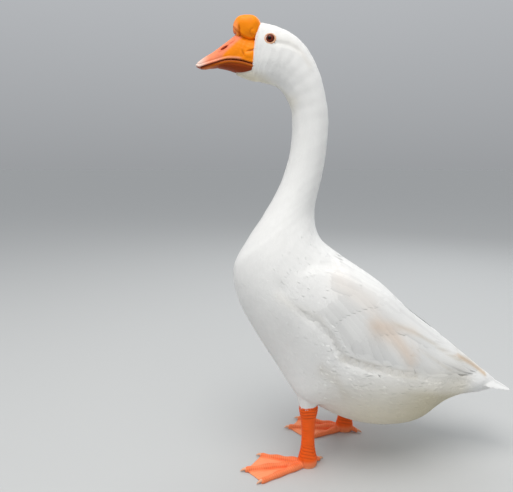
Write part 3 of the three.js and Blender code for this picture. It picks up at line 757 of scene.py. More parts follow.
def add_feathers(name, surface, roots, tips, material, slot, shade=0.03, edge=0.0, **shape):
    """Adds one piece of feathers, each with its own slight shade of the plumage's colour, and with
    painted shade along the sides of its vane by `edge` times the fourth power of the distance
    across."""
    points, faces, maps = vanes(surface, roots, tips, **shape)
    # Painted shade along the sides of each vane, in place of the shadow at each feather's edge.
    across = 1 - edge * np.asarray(shape["across"]) ** 4
    shades = 1 - shade * fraying.random(len(roots))
    tone = np.tile(across, len(points) // len(across))
    tone = tone * np.repeat(shades, len(points) // len(roots))
    paint = plumage_paint(points) * tone[:, None]
    return add_piece(name, points, faces, material, slot, 2, maps, paint)


ROUND = [[0, 0.35], [0.3, 0.9], [0.65, 1], [0.88, 0.85], [1, 0.6]]
POINTED = [[0, 0.45], [0.35, 0.95], [0.7, 0.9], [1, 0.35]]
LOOSE = [[0, 0.35], [0.25, 0.85], [0.5, 1], [0.75, 0.8], [1, 0.35]]
FIVE = [-1, -0.55, 0, 0.55, 1]
THREE = [-1, 0, 1]
fraying = np.random.default_rng(3)
random = np.random.default_rng(7)


def side_of(angle):
    """1 on the bird's left side and -1 on its right."""
    return np.where(np.sin(angle) > 0, 1, -1)


def everywhere(rung, angle):
    return np.ones_like(rung)


def dress(name, surface, low, high, length, keep=everywhere, layers=7, slim=0.5, yaw=None,
          outline=ROUND, across=FIVE, rise=0.014, camber=0.007, fray=0.1, stray=0.07, sink=0.0):
    """Sows and lays contour feathers: each points towards the tail, turned by its yaw towards the
    back, and varies a little in length, width, height and direction."""
    def room(rung, angle):
        return length(rung) ** 2 * slim / layers

    roots = sow(surface, low, high, room, keep)
    count = len(roots)
    reach = length(roots[:, 0]) * random.uniform(0.85, 1.15, count)
    here, normal = surface.read(roots)
    flow = unit(surface.read(roots - [0.05, 0])[0] - here)
    towards_back = np.cross(normal, flow) * side_of(roots[:, 1:])
    turn = random.normal(0, stray, count)
    if yaw is not None:
        turn = turn + yaw(roots[:, 0], degrees_down(roots[:, 1]))
    way = flow * np.cos(turn)[:, None] + towards_back * np.sin(turn)[:, None]
    tips = roots + surface.step_for(roots, way * reach[:, None])
    lift = rise * reach
    return add_feathers(name, surface, roots, tips, soft_white, "plumage", width=reach * slim,
                        rise=lift * random.uniform(0.85, 1.2, count), camber=camber * reach * slim,
                        outline=outline, across=across, lift=-0.8 * lift - sink, fray=fray)


def within_wing(rung, angle, above, below):
    """Whether a place lies on the folded wing, or so many degrees above or below its edges."""
    upper, lower = wing_edges(rung)
    degrees = degrees_down(angle)
    return (degrees > upper - above) & (degrees < lower + below)


def off_wing(rung, angle):
    """Where the body's own feathers show: all but the ground of the folded wing."""
    lap = np.where(rung < 6.2, 5, 3)
    return 1.0 - (within_wing(rung, angle, 0, -lap) & (rung < 8.9) & (rung > 1.2))


def on_back(rung, angle):
    """The strip of back between the wings."""
    return degrees_down(angle) < wing_edges(rung)[0] + 3


def on_flank(rung, angle):
    return off_wing(rung, angle) * ~on_back(rung, angle)


BARE_RING = 0.0088  # metres from the eye's middle to the first feathers


def round_the_eye(rung, angle):
    """The face is bare in a ring round each eye."""
    place = body.read(stacked(rung, angle))[0]
    eye = framed(EYE * [1, LEFT, 1])
    away = np.hypot(place[..., 0] - eye[0], place[..., 2] - eye[2])
    return ((away > BARE_RING) | (np.abs(place[..., 1]) < 0.01)).astype(float)


def yaw_of_side(rung, degrees):
    """Feathers of side and flank turn up where they lap over the wing's front and lower edge."""
    below = below_lap(rung, degrees)
    near = smooth(below, -12, 0) * fade(below, 6, 40)
    return mix(0.12, 0.25, smooth(rung, 6, 6.6)) * near * smooth(rung, 2, 4) * fade(rung, 9, 10.5)


def thigh_length(level):
    """Length of a thigh feather, in metres, from the hock up."""
    return np.interp(level, [0, 1, 3], [7, 12, 18]) / 1000


dress("head_coat", body, NECK_TOP, LAST_RUNG, coat_length, round_the_eye, 3.6, 0.5, outline=POINTED,
      across=THREE, stray=0.05, rise=0.02)
dress("chin_coat", chin, 0.8, 4.9, lambda row: np.full_like(row, 0.0035), layers=4, outline=POINTED,
      across=THREE, stray=0.05, rise=0.02)
dress("neck_coat", body, NECK_MIDDLE, NECK_TOP, coat_length, layers=6, slim=0.42, outline=POINTED,
      across=THREE, stray=0.07)
dress("throat_coat", body, TRUNK_TOP, NECK_MIDDLE, coat_length, layers=6, slim=0.45,
      outline=POINTED, across=THREE, stray=0.08)
dress("breast_coat", winged, 7, TRUNK_TOP, coat_length, off_wing, 6, yaw=yaw_of_side)
dress("flank_coat", winged, 0.2, 7, coat_length, on_flank, 6, yaw=yaw_of_side, outline=LOOSE,
      stray=0.09, fray=0.14)
dress("back_coat", winged, 0.2, 7, lambda rung: coat_length(rung) * 0.6, on_back, 6, stray=0.1,
      sink=0.0009)
for leg in LEGS:
    dress(f"thigh_coat_{leg}", thighs[leg], 0.08, 3.6, thigh_length, layers=5, outline=LOOSE,
          across=THREE, fray=0.2)
    dress(f"hock_fringe_{leg}", thighs[leg], 0.03, 0.6, lambda level: np.full_like(level, 0.012),
          layers=5, slim=0.4, outline=LOOSE, across=THREE, fray=0.3, rise=0.17, stray=0.3)


# ---------------------------------------------------------------- wings
# Each wing lies folded against the body. Small coverts over its front run into rows of longer ones,
# then the broad secondaries, with the primaries' tips behind and the tertials and shoulder feathers
# over all of them. Every quill has a pale raised shaft.

quill_white = feather_material("quill_white", 0.65, 0.00006)
BLADE = [[0, 0.5], [0.06, 0.7], [0.15, 0.86], [0.28, 0.95], [0.42, 1], [0.56, 1], [0.68, 0.98],
         [0.78, 0.93], [0.86, 0.84], [0.92, 0.72], [0.965, 0.55], [1, 0.3]]
NINE = [-1, -0.7, -0.36, -0.1, 0, 0.1, 0.36, 0.7, 1]

# Rows of quills on the left wing from below to above: name, number, then the paths of roots and
# tips as rung and degrees from the middle of the back, and in mm the width and the heights of root
# and tip over the wing's surface.
QUILL_ROWS = [
    ("primaries", 6, [[3.3, 50], [3.7, 42]], [[1.3, 58], [0.55, 30], [0.1, 14]], 17, -1.6, -0.6),
    ("secondaries", 11, [[5.9, 74], [5.0, 58], [4.0, 42]],
     [[5.3, 91], [4.3, 84.5], [3.3, 77.5], [2.3, 75], [1.5, 65]], 29, -1.6, -1.5),
    ("tertials", 6, [[4.8, 47], [5.7, 27]], [[2.5, 40], [1.7, 24], [1.3, 9]], 34, -1.5, -1.35),
    ("greater_coverts", 13, [[7.0, 79], [6.2, 60], [5.2, 42]], [[5.9, 90], [4.8, 69], [3.6, 44]],
     31, -1.4, -1.35),
    ("median_coverts", 13, [[7.7, 80], [7.0, 62], [6.0, 40]], [[6.6, 84], [5.9, 66], [4.7, 42]],
     28, -1.2, -1.0),
    ("scapulars_low", 7, [[6.2, 46], [6.5, 26]], [[4.2, 41], [4.0, 20]], 32, -1.3, -1.15),
    ("scapulars_high", 7, [[7.4, 54], [7.4, 32]], [[5.6, 47], [5.5, 26]], 30, -1.1, -0.8),
]


def row_of_quills(count, root_path, tip_path, width, root_height, tip_height, side):
    """Places for one row: roots and tips spaced evenly along their paths, mirrored for the right
    wing, and each vane rolled so that its lower edge lies over the next one below."""
    def along(path):
        return line_through(path, np.linspace(0, len(path) - 1, count))

    mirrored = np.array([1, np.radians(1) * side])
    roots, tips = (along(path) * mirrored for path in (root_path, tip_path))
    # Quill paint: darker overall, partly as painted shade of the wing and partly at random, with
    # painted shade along each vane's sides.
    return roots, tips, {
        "width": np.full(count, width / 1000) * random.uniform(0.94, 1.06, count),
        "lift": root_height / 1000, "rise": (tip_height - root_height) / 1000, "camber": 0.0005,
        "outline": BLADE, "across": NINE, "fray": 0.015, "blunt": 0.1, "skew": 0.12 * side,
        "roll": -0.0003 * side, "shaft": 0.0002, "bow": 0.0005, "edge": 0.13, "shade": 0.09}


def add_quills(name, surface, roots, tips, shape):
    return add_feathers(name, surface, roots, tips, quill_white, "quills", **shape)


def quilled_rise(rung, degrees):
    return wing_rise(rung, degrees) + waves(rung, degrees)


wing_top = Surface(body_at, (0, LAST_RUNG), rise=quilled_rise)
for side, wing in ((1, "left"), (-1, "right")):
    for name, *row in QUILL_ROWS:
        piece = add_quills(f"{name}_{wing}", wing_top, *row_of_quills(*row, side))
        if name == "secondaries":
            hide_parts(f"wing_{wing}")


def on_shoulder(rung, angle):
    """Where small coverts cover the wing: its front, thinning out into the rows behind."""
    back = np.interp(degrees_down(angle), [20, 40, 60, 85], [5.6, 6.2, 6.6, 7.2])
    return (within_wing(rung, angle, 4, -1) * (rung < WING_FRONT)
            * smooth(rung, back - 0.1, back + 0.5))


def covert_length(rung):
    return np.interp(rung, [5, 7, 9.4], [24, 18, 13]) / 1000


dress("lesser_coverts", winged, 5, 9.4, covert_length, on_shoulder, 6, rise=0.01, camber=0.006,
      sink=0.0003)


def under_wing(rung, angle):
    """Where the rump's feathers fill the room under the blades of the folded wing."""
    return 1.0 * within_wing(rung, angle, 4, 2)


dress("rump_coat", body, 0.6, 4.4, coat_length, under_wing, 4, outline=LOOSE)


# ---------------------------------------------------------------- tail
# A short fan of stiff quills from the end of the rump, highest in the middle and rounded at the
# end, with shorter coverts over and under the quills' roots.

# The fan from root to tip, in mm: x, height of the ridge, half width and depth, and its arch.
TAIL_X = 192, 281
TAIL_RIDGE = 171, 117
TAIL_HALF = 30, 42
TAIL_DEPTH = 8, 3.2
TAIL_ARCH = 27


def tail_surface(face):
    """The fan's upper (face 1) or under (face -1) side: in mm, x runs back to the tip as the first
    measure falls from 1 to 0, y is the second measure times the half width, and height falls from
    the ridge to each side by the arch times the 1.6th power of the distance aside."""
    def point_at(fore, aside):
        aside = aside * face
        back = np.clip(1 - fore, 0, 1)
        x = mix(TAIL_X[1], TAIL_X[0], fore)
        fall = TAIL_ARCH * (1 - back) ** 0.8 * np.abs(aside) ** 1.6
        under = 0 if face > 0 else mix(*TAIL_DEPTH, back)
        z = mix(*TAIL_RIDGE, 1 - fore) - fall - under
        return framed(stacked(x, -mix(*TAIL_HALF, np.sqrt(back)) * aside, z))

    return Surface(point_at, (-0.1, 1.5), (-1.4, 1.4), (90, 90), closed=False)


tail_top, tail_under = tail_surface(1), tail_surface(-1)
ROUNDED = [[0, 0.4], [0.1, 0.7], [0.3, 0.92], [0.5, 1], [0.75, 0.98], [0.86, 0.9], [0.94, 0.74],
           [0.98, 0.55], [1, 0.36]]

# Rows of the fan: name, side of the fan, number, place and half width of the roots as measures of
# the surface, length in the first measure, then width and height over the surface in mm.
TAIL_ROWS = [
    ("tail_quills", tail_top, 16, 1.05, 0.4, 1.04, 25, -2.4),
    ("tail_coverts", tail_top, 13, 1.3, 0.4, 0.75, 24, -0.4),
    ("undertail_coverts", tail_under, 13, 1.25, 0.4, 0.75, 24, -1.6),
    ("undertail_coverts_short", tail_under, 11, 1.4, 0.35, 0.62, 26, 0),
]


def fan_of_quills(count, root, half_root, length, width, height):
    """Roots in a row across, and tips on the fan's rounded end, the middle ones longest."""
    aside = np.linspace(-1, 1, count)
    order = np.abs(aside)
    roots = stacked(np.full(count, root), aside * half_root)
    tips = stacked(root - length + 0.56 * length * order ** 2.4, aside * 0.74)
    lift = (height + 1.6 * (1 - order)) / 1000
    # Each vane gets painted shade along its sides.
    return roots, tips, {
        "width": np.full(count, width / 1000), "lift": lift, "rise": 0.0, "camber": 0.0008,
        "outline": ROUNDED, "across": NINE, "fray": 0.015, "blunt": 0.05,
        "roll": 0.0006 * np.sign(aside), "shaft": 0.0004, "edge": 0.06}


for name, surface, *sizes in TAIL_ROWS:
    piece = add_quills(name, surface, *fan_of_quills(*sizes))
    if name == "tail_quills":
        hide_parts("tail")


# ---------------------------------------------------------------- bill
# Horn over bone, in two halves. The upper half has a ridge, a long nostril in a shallow groove each
# side, a thick lip and a pale nail at the tip; the lower half is a flat trough shut against it.

ORANGE = np.array([1.0, 0.275, 0.003])
KNOB_PINK = np.array([0.92, 0.30, 0.10])
# Deep red-brown: painted shade in the creases of bill and knob, and the lids' own colour at their
# inner edge.
CREASE = np.array([0.34, 0.055, 0.004])
SALMON = np.array([0.93, 0.265, 0.125])
PALE_HORN = np.array([0.84, 0.68, 0.60])
# Dark red for painted shade along the mouth and in the nostril.
DARK_RED_SHADE = np.array([0.28, 0.038, 0.014])
BLOOD = np.array([0.62, 0.09, 0.035])
# The lip's pink, partly the horn's own colour and partly a painted highlight.
LIP_PINK_AND_HIGHLIGHT = np.array([0.92, 0.42, 0.28])
BROWN_ORANGE = np.array([0.27, 0.038, 0.002])
PALATE = np.array([0.45, 0.13, 0.08])

# The mouth's line as x, z; the ridge as x, top, half width; the jaw's keel as x, base, half width.
MOUTH = np.array([
    [-178, 680.5], [-192, 683.6], [-209, 688], [-229, 689.5], [-249, 685], [-266, 680.4],
    [-275, 678.4], [-282, 680.6],
])
UPPER_BILL = np.array([
    [-178, 722, 18.5], [-193.5, 726, 18.6], [-203, 730, 18.6], [-213, 732, 18],
    [-220, 727, 17.2], [-230, 719.5, 16], [-242, 711, 14.6], [-254, 702.5, 13.6],
    [-265, 696.5, 12.4], [-273, 691, 10.4], [-278.5, 687, 7.4], [-281.2, 684.2, 3.6],
])
LOWER_BILL = np.array([
    [-181, 672, 18.2], [-192, 669.4, 18.3], [-204, 668.4, 18.1], [-215, 670.4, 17.2],
    [-230, 675, 15.6], [-246, 678, 13.7], [-258, 678.4, 12.4], [-267, 676.8, 10.2],
    [-274, 676.4, 5.8],
])
NOSTRIL = np.array([-234.5, 707.6])


def mouth_at(x):
    """Height of the mouth's line at x, along a smooth curve through its points."""
    steps = np.linspace(0, len(MOUTH) - 1, 200)
    line = line_through(MOUTH, steps)
    return np.interp(-x, -line[:, 0], line[:, 1])


MOUTH_GAP = 0.1  # between each half and the mouth's line
HOLLOW = 0.8  # how deep each half is hollowed where they meet
BILL_RINGS, BILL_SIDES = 150, 180


def horn_ring(rows, at, turn, arch, up):
    """Section of one half, in mm: over half a turn the width goes as the sine and the height as the
    cosine to the power `arch`; over the other half it is a shallow hollow at the mouth's line."""
    x, edge, half = parted(line_through(rows, at))
    floor = mouth_at(x) + MOUTH_GAP * up
    outside, level = np.cos(turn) > 0, np.abs(np.cos(turn))
    rise = np.where(outside, level ** arch * (edge - floor), up * HOLLOW * level)
    return stacked(x, -up * half * np.sin(turn) * np.where(outside, 1, 0.93), floor + rise)


def horn_material(name, roughness, coat):
    """Painted horn with fine uneven bump and a moist coat."""
    material, tree, shader = new_material(name)
    place = noise_paint(tree, shader, roughness, 85, 0.15)
    set_inputs(tree, shader, {
        "Coat Weight": coat, "Coat Roughness": 0.35, "Specular IOR Level": 0.13})
    grain = add_node(tree, "ShaderNodeTexNoise", {"Vector": place, "Scale": 420, "Detail": 6})
    add_bump(tree, shader, grain.outputs["Fac"], 0.5, 0.0003)
    return material


horn = horn_material("horn", 0.42, 0.04)


def oval_share(x, z, centre, long, high, slope):
    """Distance from a centre in the side view, 1 on an oval that is tilted up towards the back."""
    c, s = np.cos(np.radians(slope)), np.sin(np.radians(slope))
    dx, dz = x - centre[0], z - centre[1]
    return np.hypot((dx * c + dz * s) / long, (dz * c - dx * s) / high)


def add_tube(name, points, material, slot, paint):
    """Adds a closed tube from rings of points in millimetres, with a colour for each."""
    rings, sides = points.shape[:2]
    points = framed(points).reshape(-1, 3)
    faces = outward(points, tube_faces(rings, sides))
    return add_piece(name, points, faces, material, slot, paint=paint.reshape(-1, 3))


def add_bill_half(name, rows, arch, up, relief, colour):
    """One half of the bill, with relief along its normals and closer rings at the tip."""
    at = (len(rows) - 1) * (1 - (1 - np.linspace(0, 1, BILL_RINGS)) ** 1.3)
    at, turn = np.meshgrid(at, round_turn(BILL_SIDES), indexing="ij")
    points = horn_ring(rows, at, turn, arch, up)
    normal = grid_normals(points)
    if np.sum(normal[BILL_RINGS // 2, 0] * [0, 0, up]) < 0:
        normal = -normal
    points = points + normal * relief(points, turn)[..., None]
    return add_tube(name, points, horn, "bill", colour(points, turn))


def nostril_share(x, z):
    """1 on the rim of the long nostril, which slopes up towards the face."""
    return oval_share(x, z, NOSTRIL, 6.8, 1.9, 30)


def nostril_groove(x, z, width):
    """1 along the shallow groove that runs through the nostril, at its own slope."""
    return bell(z - 711.5 - 0.62 * (x + 229), width) * smooth(x, -236, -230) * fade(x, -222, -214)


def base_folds(x, z):
    """Height of the soft folds of skin over the corner of the mouth, in mm: a crease across, a
    swelling under it and a second crease in front."""
    crease = -1.5 * bell(z - 703 - 0.25 * (x + 190), 1.5) * smooth(x, -202, -194)
    swelling = 1.7 * bell(x + 194.5, 6) * bell(z - 695.5, 4.8)
    second = -1.1 * bell(x + 202.5 + 0.4 * (z - 696), 1.4) * bell(z - 697, 5)
    return crease + swelling + second


def upper_relief(points, turn):
    """The lip, the nostril in its groove, the nail's edge, and folds at the base."""
    x, y, z = parted(points)
    above = z - mouth_at(x)
    lip = 0.5 * bell(above - 1.8, 1.2) - 0.4 * bell(above - 4.6, 1.2)
    lip = lip * smooth(-x, 186, 200)
    pit = -3.4 * fade(nostril_share(x, z), 0.5, 1.1)
    rim = 0.5 * bell(nostril_share(x, z) - 1.4, 0.25)
    groove = -1.0 * nostril_groove(x, z, 2.2)
    nail = np.hypot((x + 282.5) / 15.5, y / 9)
    plate = 0.25 * fade(nail, 0.8, 1) - 0.25 * bell(nail - 1.06, 0.09)
    lumps = 0.2 * np.sin(0.55 * x + 0.3 * z) * np.sin(0.6 * z - 0.2 * x)
    lumps = lumps * smooth(x, -225, -205) * (above > 5)
    relief = lip + pit + rim + groove + plate * (z > 681) + base_folds(x, z) + lumps
    return np.where(np.cos(turn) > 0, relief, 0)


def upper_colour(points, turn):
    """Orange in a wedge at the base, salmon in front and along the ridge, a pink lip that is partly
    a painted highlight, a pale nail, and dark red as painted shade in the nostril, along the mouth
    and in the creases."""
    x, _, z = parted(points)
    above, nostril = z - mouth_at(x), nostril_share(x, z)
    wedge = smooth((x + 205) * 0.66 - (z - 724) * 0.75, -2.5, 2.5) * smooth(x, -243, -232)
    lip = bell(above - 3.0, 1.2) * smooth(-x, 203, 212)
    # Painted shade in the creases of the folds, by how deep they are.
    folds = np.clip(-0.6 * base_folds(x, z), 0, 0.7)
    reddened = np.maximum(0.6 * nostril_groove(x, z, 1.6), 0.5 * fade(nostril, 1.0, 1.8))
    return layered(SALMON, (ORANGE, wedge), (LIP_PINK_AND_HIGHLIGHT, 0.7 * lip),
                   (PALE_HORN, 0.85 * smooth(-x, 256, 278)), (CREASE, folds),
                   (DARK_RED_SHADE, 0.9 * fade(above, 0, 0.35)), (PALATE, 1.0 * (np.cos(turn) < 0)),
                   (BLOOD, reddened), (DARK_RED_SHADE, 0.95 * fade(nostril, 0.75, 1.1)))


def lower_relief(points, turn):
    """A rounded ridge along the side of the jaw, with a groove under it."""
    x, _, z = parted(points)
    below = mouth_at(x) - z
    ridge = 0.6 * bell(below - 4, 1.3) - 0.5 * bell(below - 7, 1.2)
    return np.where(np.cos(turn) > 0, ridge, 0)


def lower_colour(points, turn):
    """Brown-orange, with a painted highlight in orange along the ridge of the jaw's side, painted
    shade in the groove under it, and dark red painted shade at the mouth's line.
    """
    x, _, z = parted(points)
    below = mouth_at(x) - z
    # The orange on the ridge is a painted highlight; the groove and the mouth's line get painted
    # shade.
    return layered(BROWN_ORANGE, (ORANGE, 0.35 * bell(below - 4, 1.6)),
                   (CREASE, 0.6 * bell(below - 7, 1.3)), (DARK_RED_SHADE, 0.9 * fade(below, 0, 0.35)))


bill_upper = add_bill_half("upper_bill", UPPER_BILL, 0.8, 1, upper_relief, upper_colour)
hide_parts("bill_upper")
bill_lower = add_bill_half("lower_bill", LOWER_BILL, 0.6, -1, lower_relief, lower_colour)
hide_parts("bill_lower")


# ---------------------------------------------------------------- knob
# A round swelling of skin over bone on the root of the bill, smooth and bright, with a lobe in
# front parted off by a crease, a wart at the back and loose folds where it meets the face.

KNOB = np.array([-197.2, 0, 740])
KNOB_HALVES = np.array([22.6, 18.8, 20.4])
KNOB_SQUARE = 2.5


def knob_at(fall, turn):
    """An egg-like lump: fall goes from the top of the lump down, and turn around it."""
    way = stacked(np.sin(fall) * np.cos(turn), -np.sin(fall) * np.sin(turn), np.cos(fall))
    return KNOB + KNOB_HALVES * bent(way, KNOB_SQUARE)


def knob_relief(points):
    """The crease behind the front lobe, a wart low at the back, and the fold along the foot."""
    x, y, z = parted(points)
    aside = smooth(np.abs(y), 4, 9)
    crease = -2.3 * bell(x + 210 + 0.10 * (z - 736), 1.5) * fade(z, 736, 746) * aside
    lobe = 1.2 * bell(x + 216, 5) * bell(z - 739, 7)
    wart = 1.2 * bell(x + 187, 3.6) * bell(z - 730, 3.4) * aside
    ring = ((x + 187) / 5.4) ** 2 + ((z - 730.5) / 5.4) ** 2
    groove = -0.7 * bell(ring - 1, 0.4) * aside * fade(x, -190, -185)
    foot = z - (719.5 + 0.022 * (x + 189) ** 2)
    recess = -2.4 * bell(x + 218, 2.6) * bell(z - 730, 2.6)
    fold = -1.3 * bell(foot, 1.5) + 0.7 * bell(foot - 4, 2)
    lumps = 0.15 * np.sin(0.3 * x + 0.2 * y) * np.sin(0.27 * z - 0.2 * y)
    return crease + lobe + wart + groove + recess + fold * aside + lumps


def knob_colour(points):
    """Bright orange, paler and pinker on the lobe in front, and deep red-brown as painted shade in
    the creases and wherever the relief sinks.
    """
    x, _, z = parted(points)
    front = smooth(-x, 209, 215) * fade(z, 742, 756)
    # Painted shade, deeper as the relief sinks.
    creases = np.clip(-0.4 * knob_relief(points), 0, 0.65)
    return layered(ORANGE, (KNOB_PINK, 0.7 * front), (CREASE, creases))


fall, turn = np.meshgrid(np.linspace(0.02, np.pi - 0.02, 90), round_turn(140), indexing="ij")
points = knob_at(fall[::-1], turn)
points = points + grid_normals(points) * knob_relief(points)[..., None]
knob = add_tube("knob", points, horn, "knob", knob_colour(points))
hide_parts("bill_knob")


# ---------------------------------------------------------------- eyes
# A dark brown eye with a wet bulging cornea lies on each side of the head, in a thin wrinkled ring
# of bare orange skin that grows over its edge.

BLACK = np.array([0.004, 0.003, 0.003])
IRIS = np.array([0.16, 0.026, 0.012])
SCLERA = np.array([0.02, 0.012, 0.01])
LID = np.array([0.78, 0.44, 0.27])
LID_SIDES, LID_TOP, LID_UNDER = 120, 12, 8  # points round the eye, over the lid, and back beneath

eye_material, eye_tree, eye_shader = new_material("wet_eye")
noise_paint(eye_tree, eye_shader, 0.15, 300, 0.25)
set_inputs(eye_tree, eye_shader, {
    "Specular IOR Level": 0.1, "Coat Weight": 0.16, "Coat Roughness": 0.02})

lid_material = horn_material("lid_skin", 0.6, 0)


def ring_faces(rings, sides):
    """Faces of a tube whose last ring meets its first."""
    cell = np.arange(rings * sides).reshape(rings, sides)
    ahead = np.roll(cell, -1, 0)
    return stacked(cell, ahead, np.roll(ahead, -1, 1), np.roll(cell, -1, 1)).reshape(-1, 4)


for side, name in ((LEFT, "left"), (RIGHT, "right")):
    # The ball: polar runs from the pupil's middle inwards, and the cornea swells out over the iris.
    centre = EYE * [1, side, 1]
    out = unit(np.array([-0.2, side, 0.05]))
    ahead = unit(np.cross([0, 0, 1], out))
    up = np.cross(out, ahead)
    polar, turn = np.meshgrid(np.linspace(0.01, np.pi - 0.01, 60), round_turn(72), indexing="ij")
    radius = EYE_RADIUS * (0.98 + 0.06 * bell(polar, 0.55))
    aside = np.cos(turn)[..., None] * ahead + np.sin(turn)[..., None] * up
    way = np.cos(polar)[..., None] * out + np.sin(polar)[..., None] * aside
    paint = layered(BLACK, (IRIS, smooth(polar, 0.38, 0.46)), (SCLERA, smooth(polar, 0.95, 1.1)))
    eye = add_tube(f"eyeball_{name}", centre + way * radius[..., None], eye_material, "eye", paint)
    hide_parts(f"eye_{name}")

    # The lids: a ring on the head's surface, from under the feathers up over a wrinkled rim and
    # down to the ball; across runs over it from the inner edge and back beneath.
    turn, step = np.meshgrid(round_turn(LID_SIDES), np.arange(LID_TOP + LID_UNDER), indexing="ij")
    across = np.where(step < LID_TOP, step / (LID_TOP - 1),
                      (LID_TOP + LID_UNDER - 1 - step) / (LID_UNDER - 1))
    reach = mix(6.0, 9.6, across)
    x, z = EYE[0] + 1.05 * reach * np.cos(turn), EYE[2] + 0.96 * reach * np.sin(turn)
    points, normal = body.read(face_place(x, z, side))
    crest = np.interp(across, [0, 0.2, 0.45, 0.75, 1], [-2.4, -0.6, 0.55, 0.25, -0.5])
    wrinkle = 0.10 * np.sin(22 * turn) * bell(across - 0.4, 0.25) + 0.3 * np.cos(turn) ** 8 * crest
    height = np.where(step < LID_TOP, crest + wrinkle, -3.0)
    points = (points + normal * height[..., None] / 1000).reshape(-1, 3)
    paint = layered(LID, (CREASE, 0.6 * fade(across, 0, 0.25)))
    faces = outward(points, [ring_faces(*turn.shape)])
    add_piece(f"lids_{name}", points, faces, lid_material, "eye", paint=paint.reshape(-1, 3))


# ---------------------------------------------------------------- legs and feet
# Bare orange legs below the feathers: folded skin round the hock, broad scutes down the shank's
# front, three webbed toes and a short hind toe, all one piece for each leg, with pale horn claws.

ANKLE = 15

# The shank from the hock down, in mm: height, half length, half width.
SHANK = np.array([
    [HOCK + 14, 11, 9.5], [HOCK, 15.4, 12.6], [108, 16.6, 13.6], [98, 15.6, 12.6],
    [86, 13, 10.6], [62, 11.4, 9.2], [40, 12, 9.8], [26, 14.2, 11.6], [ANKLE, 16.6, 13.6],
    [8, 16.8, 14], [0, 15.4, 12.4],
])

# Each toe's spread from the foot's heading in degrees, and its length and girth in mm.
TOES = {"inner": (-27, 86, 5.6), "middle": (0, 111, 6.3), "outer": (22, 97, 6.2)}
HIND_TOE = (-158, 27, 4.6)
CLAW_LENGTH, CLAW_GIRTH = 8.5, 3
WEB_THICK = 2.2
LEG_ORANGE = np.array([0.95, 0.125, 0.009])
WEB_SALMON = np.array([0.98, 0.33, 0.15])
FOLD_SHADE_RED = np.array([0.45, 0.05, 0.006])
CLAW_HORN = np.array([0.80, 0.42, 0.26])
UP = np.array([0, 0, 1])


def foot_place(leg):
    _, x, y, _ = LEGS[leg]
    return np.array([x, y, 0])


def heading(leg, spread):
    """Direction of a toe over the floor, and the direction aside."""
    side, _, _, turn = LEGS[leg]
    angle = side * np.radians(turn + spread)
    return np.array([-np.cos(angle), np.sin(angle), 0]), np.array([np.sin(angle), np.cos(angle), 0])


def finger(leg, spread, distance, height, radius, sides=24):
    """A round tube along a toe's heading: rings at a distance and height with a radius each."""
    forward, aside = heading(leg, spread)
    turn = round_turn(sides)
    way = np.cos(turn)[:, None] * aside + np.sin(turn)[:, None] * UP
    middle = foot_place(leg) + forward * distance[:, None] + UP * height[:, None]
    points = middle[:, None] + way * radius[:, None, None]
    return points.reshape(-1, 3), tube_faces(len(distance), sides)


def toe(leg, spread, length, girth):
    """A toe with three knuckles, thinner towards its rounded tip; its sole rests on the floor."""
    share = np.linspace(0, 1, 40)
    radius = girth * mix(1.15, 0.74, share) * (1 + 0.10 * np.cos(2 * np.pi * 3 * share + 0.5))
    radius = radius * np.sqrt(np.clip((1.03 - share) / 0.06, 0.05, 1))
    return finger(leg, spread, length * share, radius * 0.72 + 4 * fade(share, 0, 0.2), radius)


def hind_toe(leg):
    spread, length, girth = HIND_TOE
    share = np.linspace(0, 1, 20)
    radius = girth * mix(1.25, 0.85, share) * np.sqrt(np.clip((1.05 - share) / 0.1, 0.05, 1))
    return finger(leg, spread, mix(3, length, share), mix(13, girth * 0.7, share ** 0.8), radius)


def web(leg):
    """The web as rings at headings from the inner to the outer toe: each goes out over the top to
    the free edge, which is nearly straight between the toes, and comes back along the sole. It
    hangs in a shallow hollow between one toe and the next."""
    inner, outer = TOES["inner"][0], TOES["outer"][0]
    spreads = np.linspace(inner, outer, 60)
    reach = 0.98 * np.interp(spreads, *zip(*(sizes[:2] for sizes in TOES.values())))
    neighbour = np.where(spreads < 0, inner, outer)
    between = np.minimum(np.abs(spreads), np.abs(spreads - neighbour)) / np.abs(neighbour) * 2
    reach = reach * (1 - 0.025 * np.sin(between * np.pi / 2) ** 1.2)
    out = np.concatenate([np.linspace(0.06, 1, 40), np.linspace(1, 0.06, 40)])
    over = np.concatenate([np.ones(38), [0.8, 0.6, 0.3, 0.1], np.zeros(38)])
    rib = 2.6 * bell(between, 0.45)[:, None] * mix(1, 0.55, out)
    height = 0.1 + over * (WEB_THICK + rib)
    ways = np.stack([heading(leg, spread)[0] for spread in spreads])
    points = ways[:, None] * (reach[:, None] * out)[..., None] + UP * height[..., None]
    return (points + foot_place(leg)).reshape(-1, 3), tube_faces(60, 80)


def shank(leg):
    """The shank as ovals at each level, from under the feathers down into the foot."""
    levels = line_through(SHANK, np.linspace(0, len(SHANK) - 1, 70))
    turn = round_turn(40)
    _, x, y, _ = LEGS[leg]
    z, long, wide = (levels[:, k, None] for k in range(3))
    points = stacked(x + long * np.cos(turn), y + wide * np.sin(turn), z + 0 * turn)
    return points.reshape(-1, 3), tube_faces(70, 40)


def along_toes(leg, points):
    """Distance along the nearest toe, and how far aside of it a point lies in girths."""
    best_along, best_aside = np.zeros(len(points)), np.full(len(points), 99.0)
    way = points - foot_place(leg)
    for spread, length, girth in [*TOES.values(), HIND_TOE]:
        forward, aside = heading(leg, spread)
        ahead, away = way @ forward, np.abs(way @ aside) / girth
        nearer = (away < best_aside) & (ahead > 0) & (ahead < length + 3)
        best_along = np.where(nearer, ahead, best_along)
        best_aside = np.where(nearer, away, best_aside)
    return best_along, best_aside


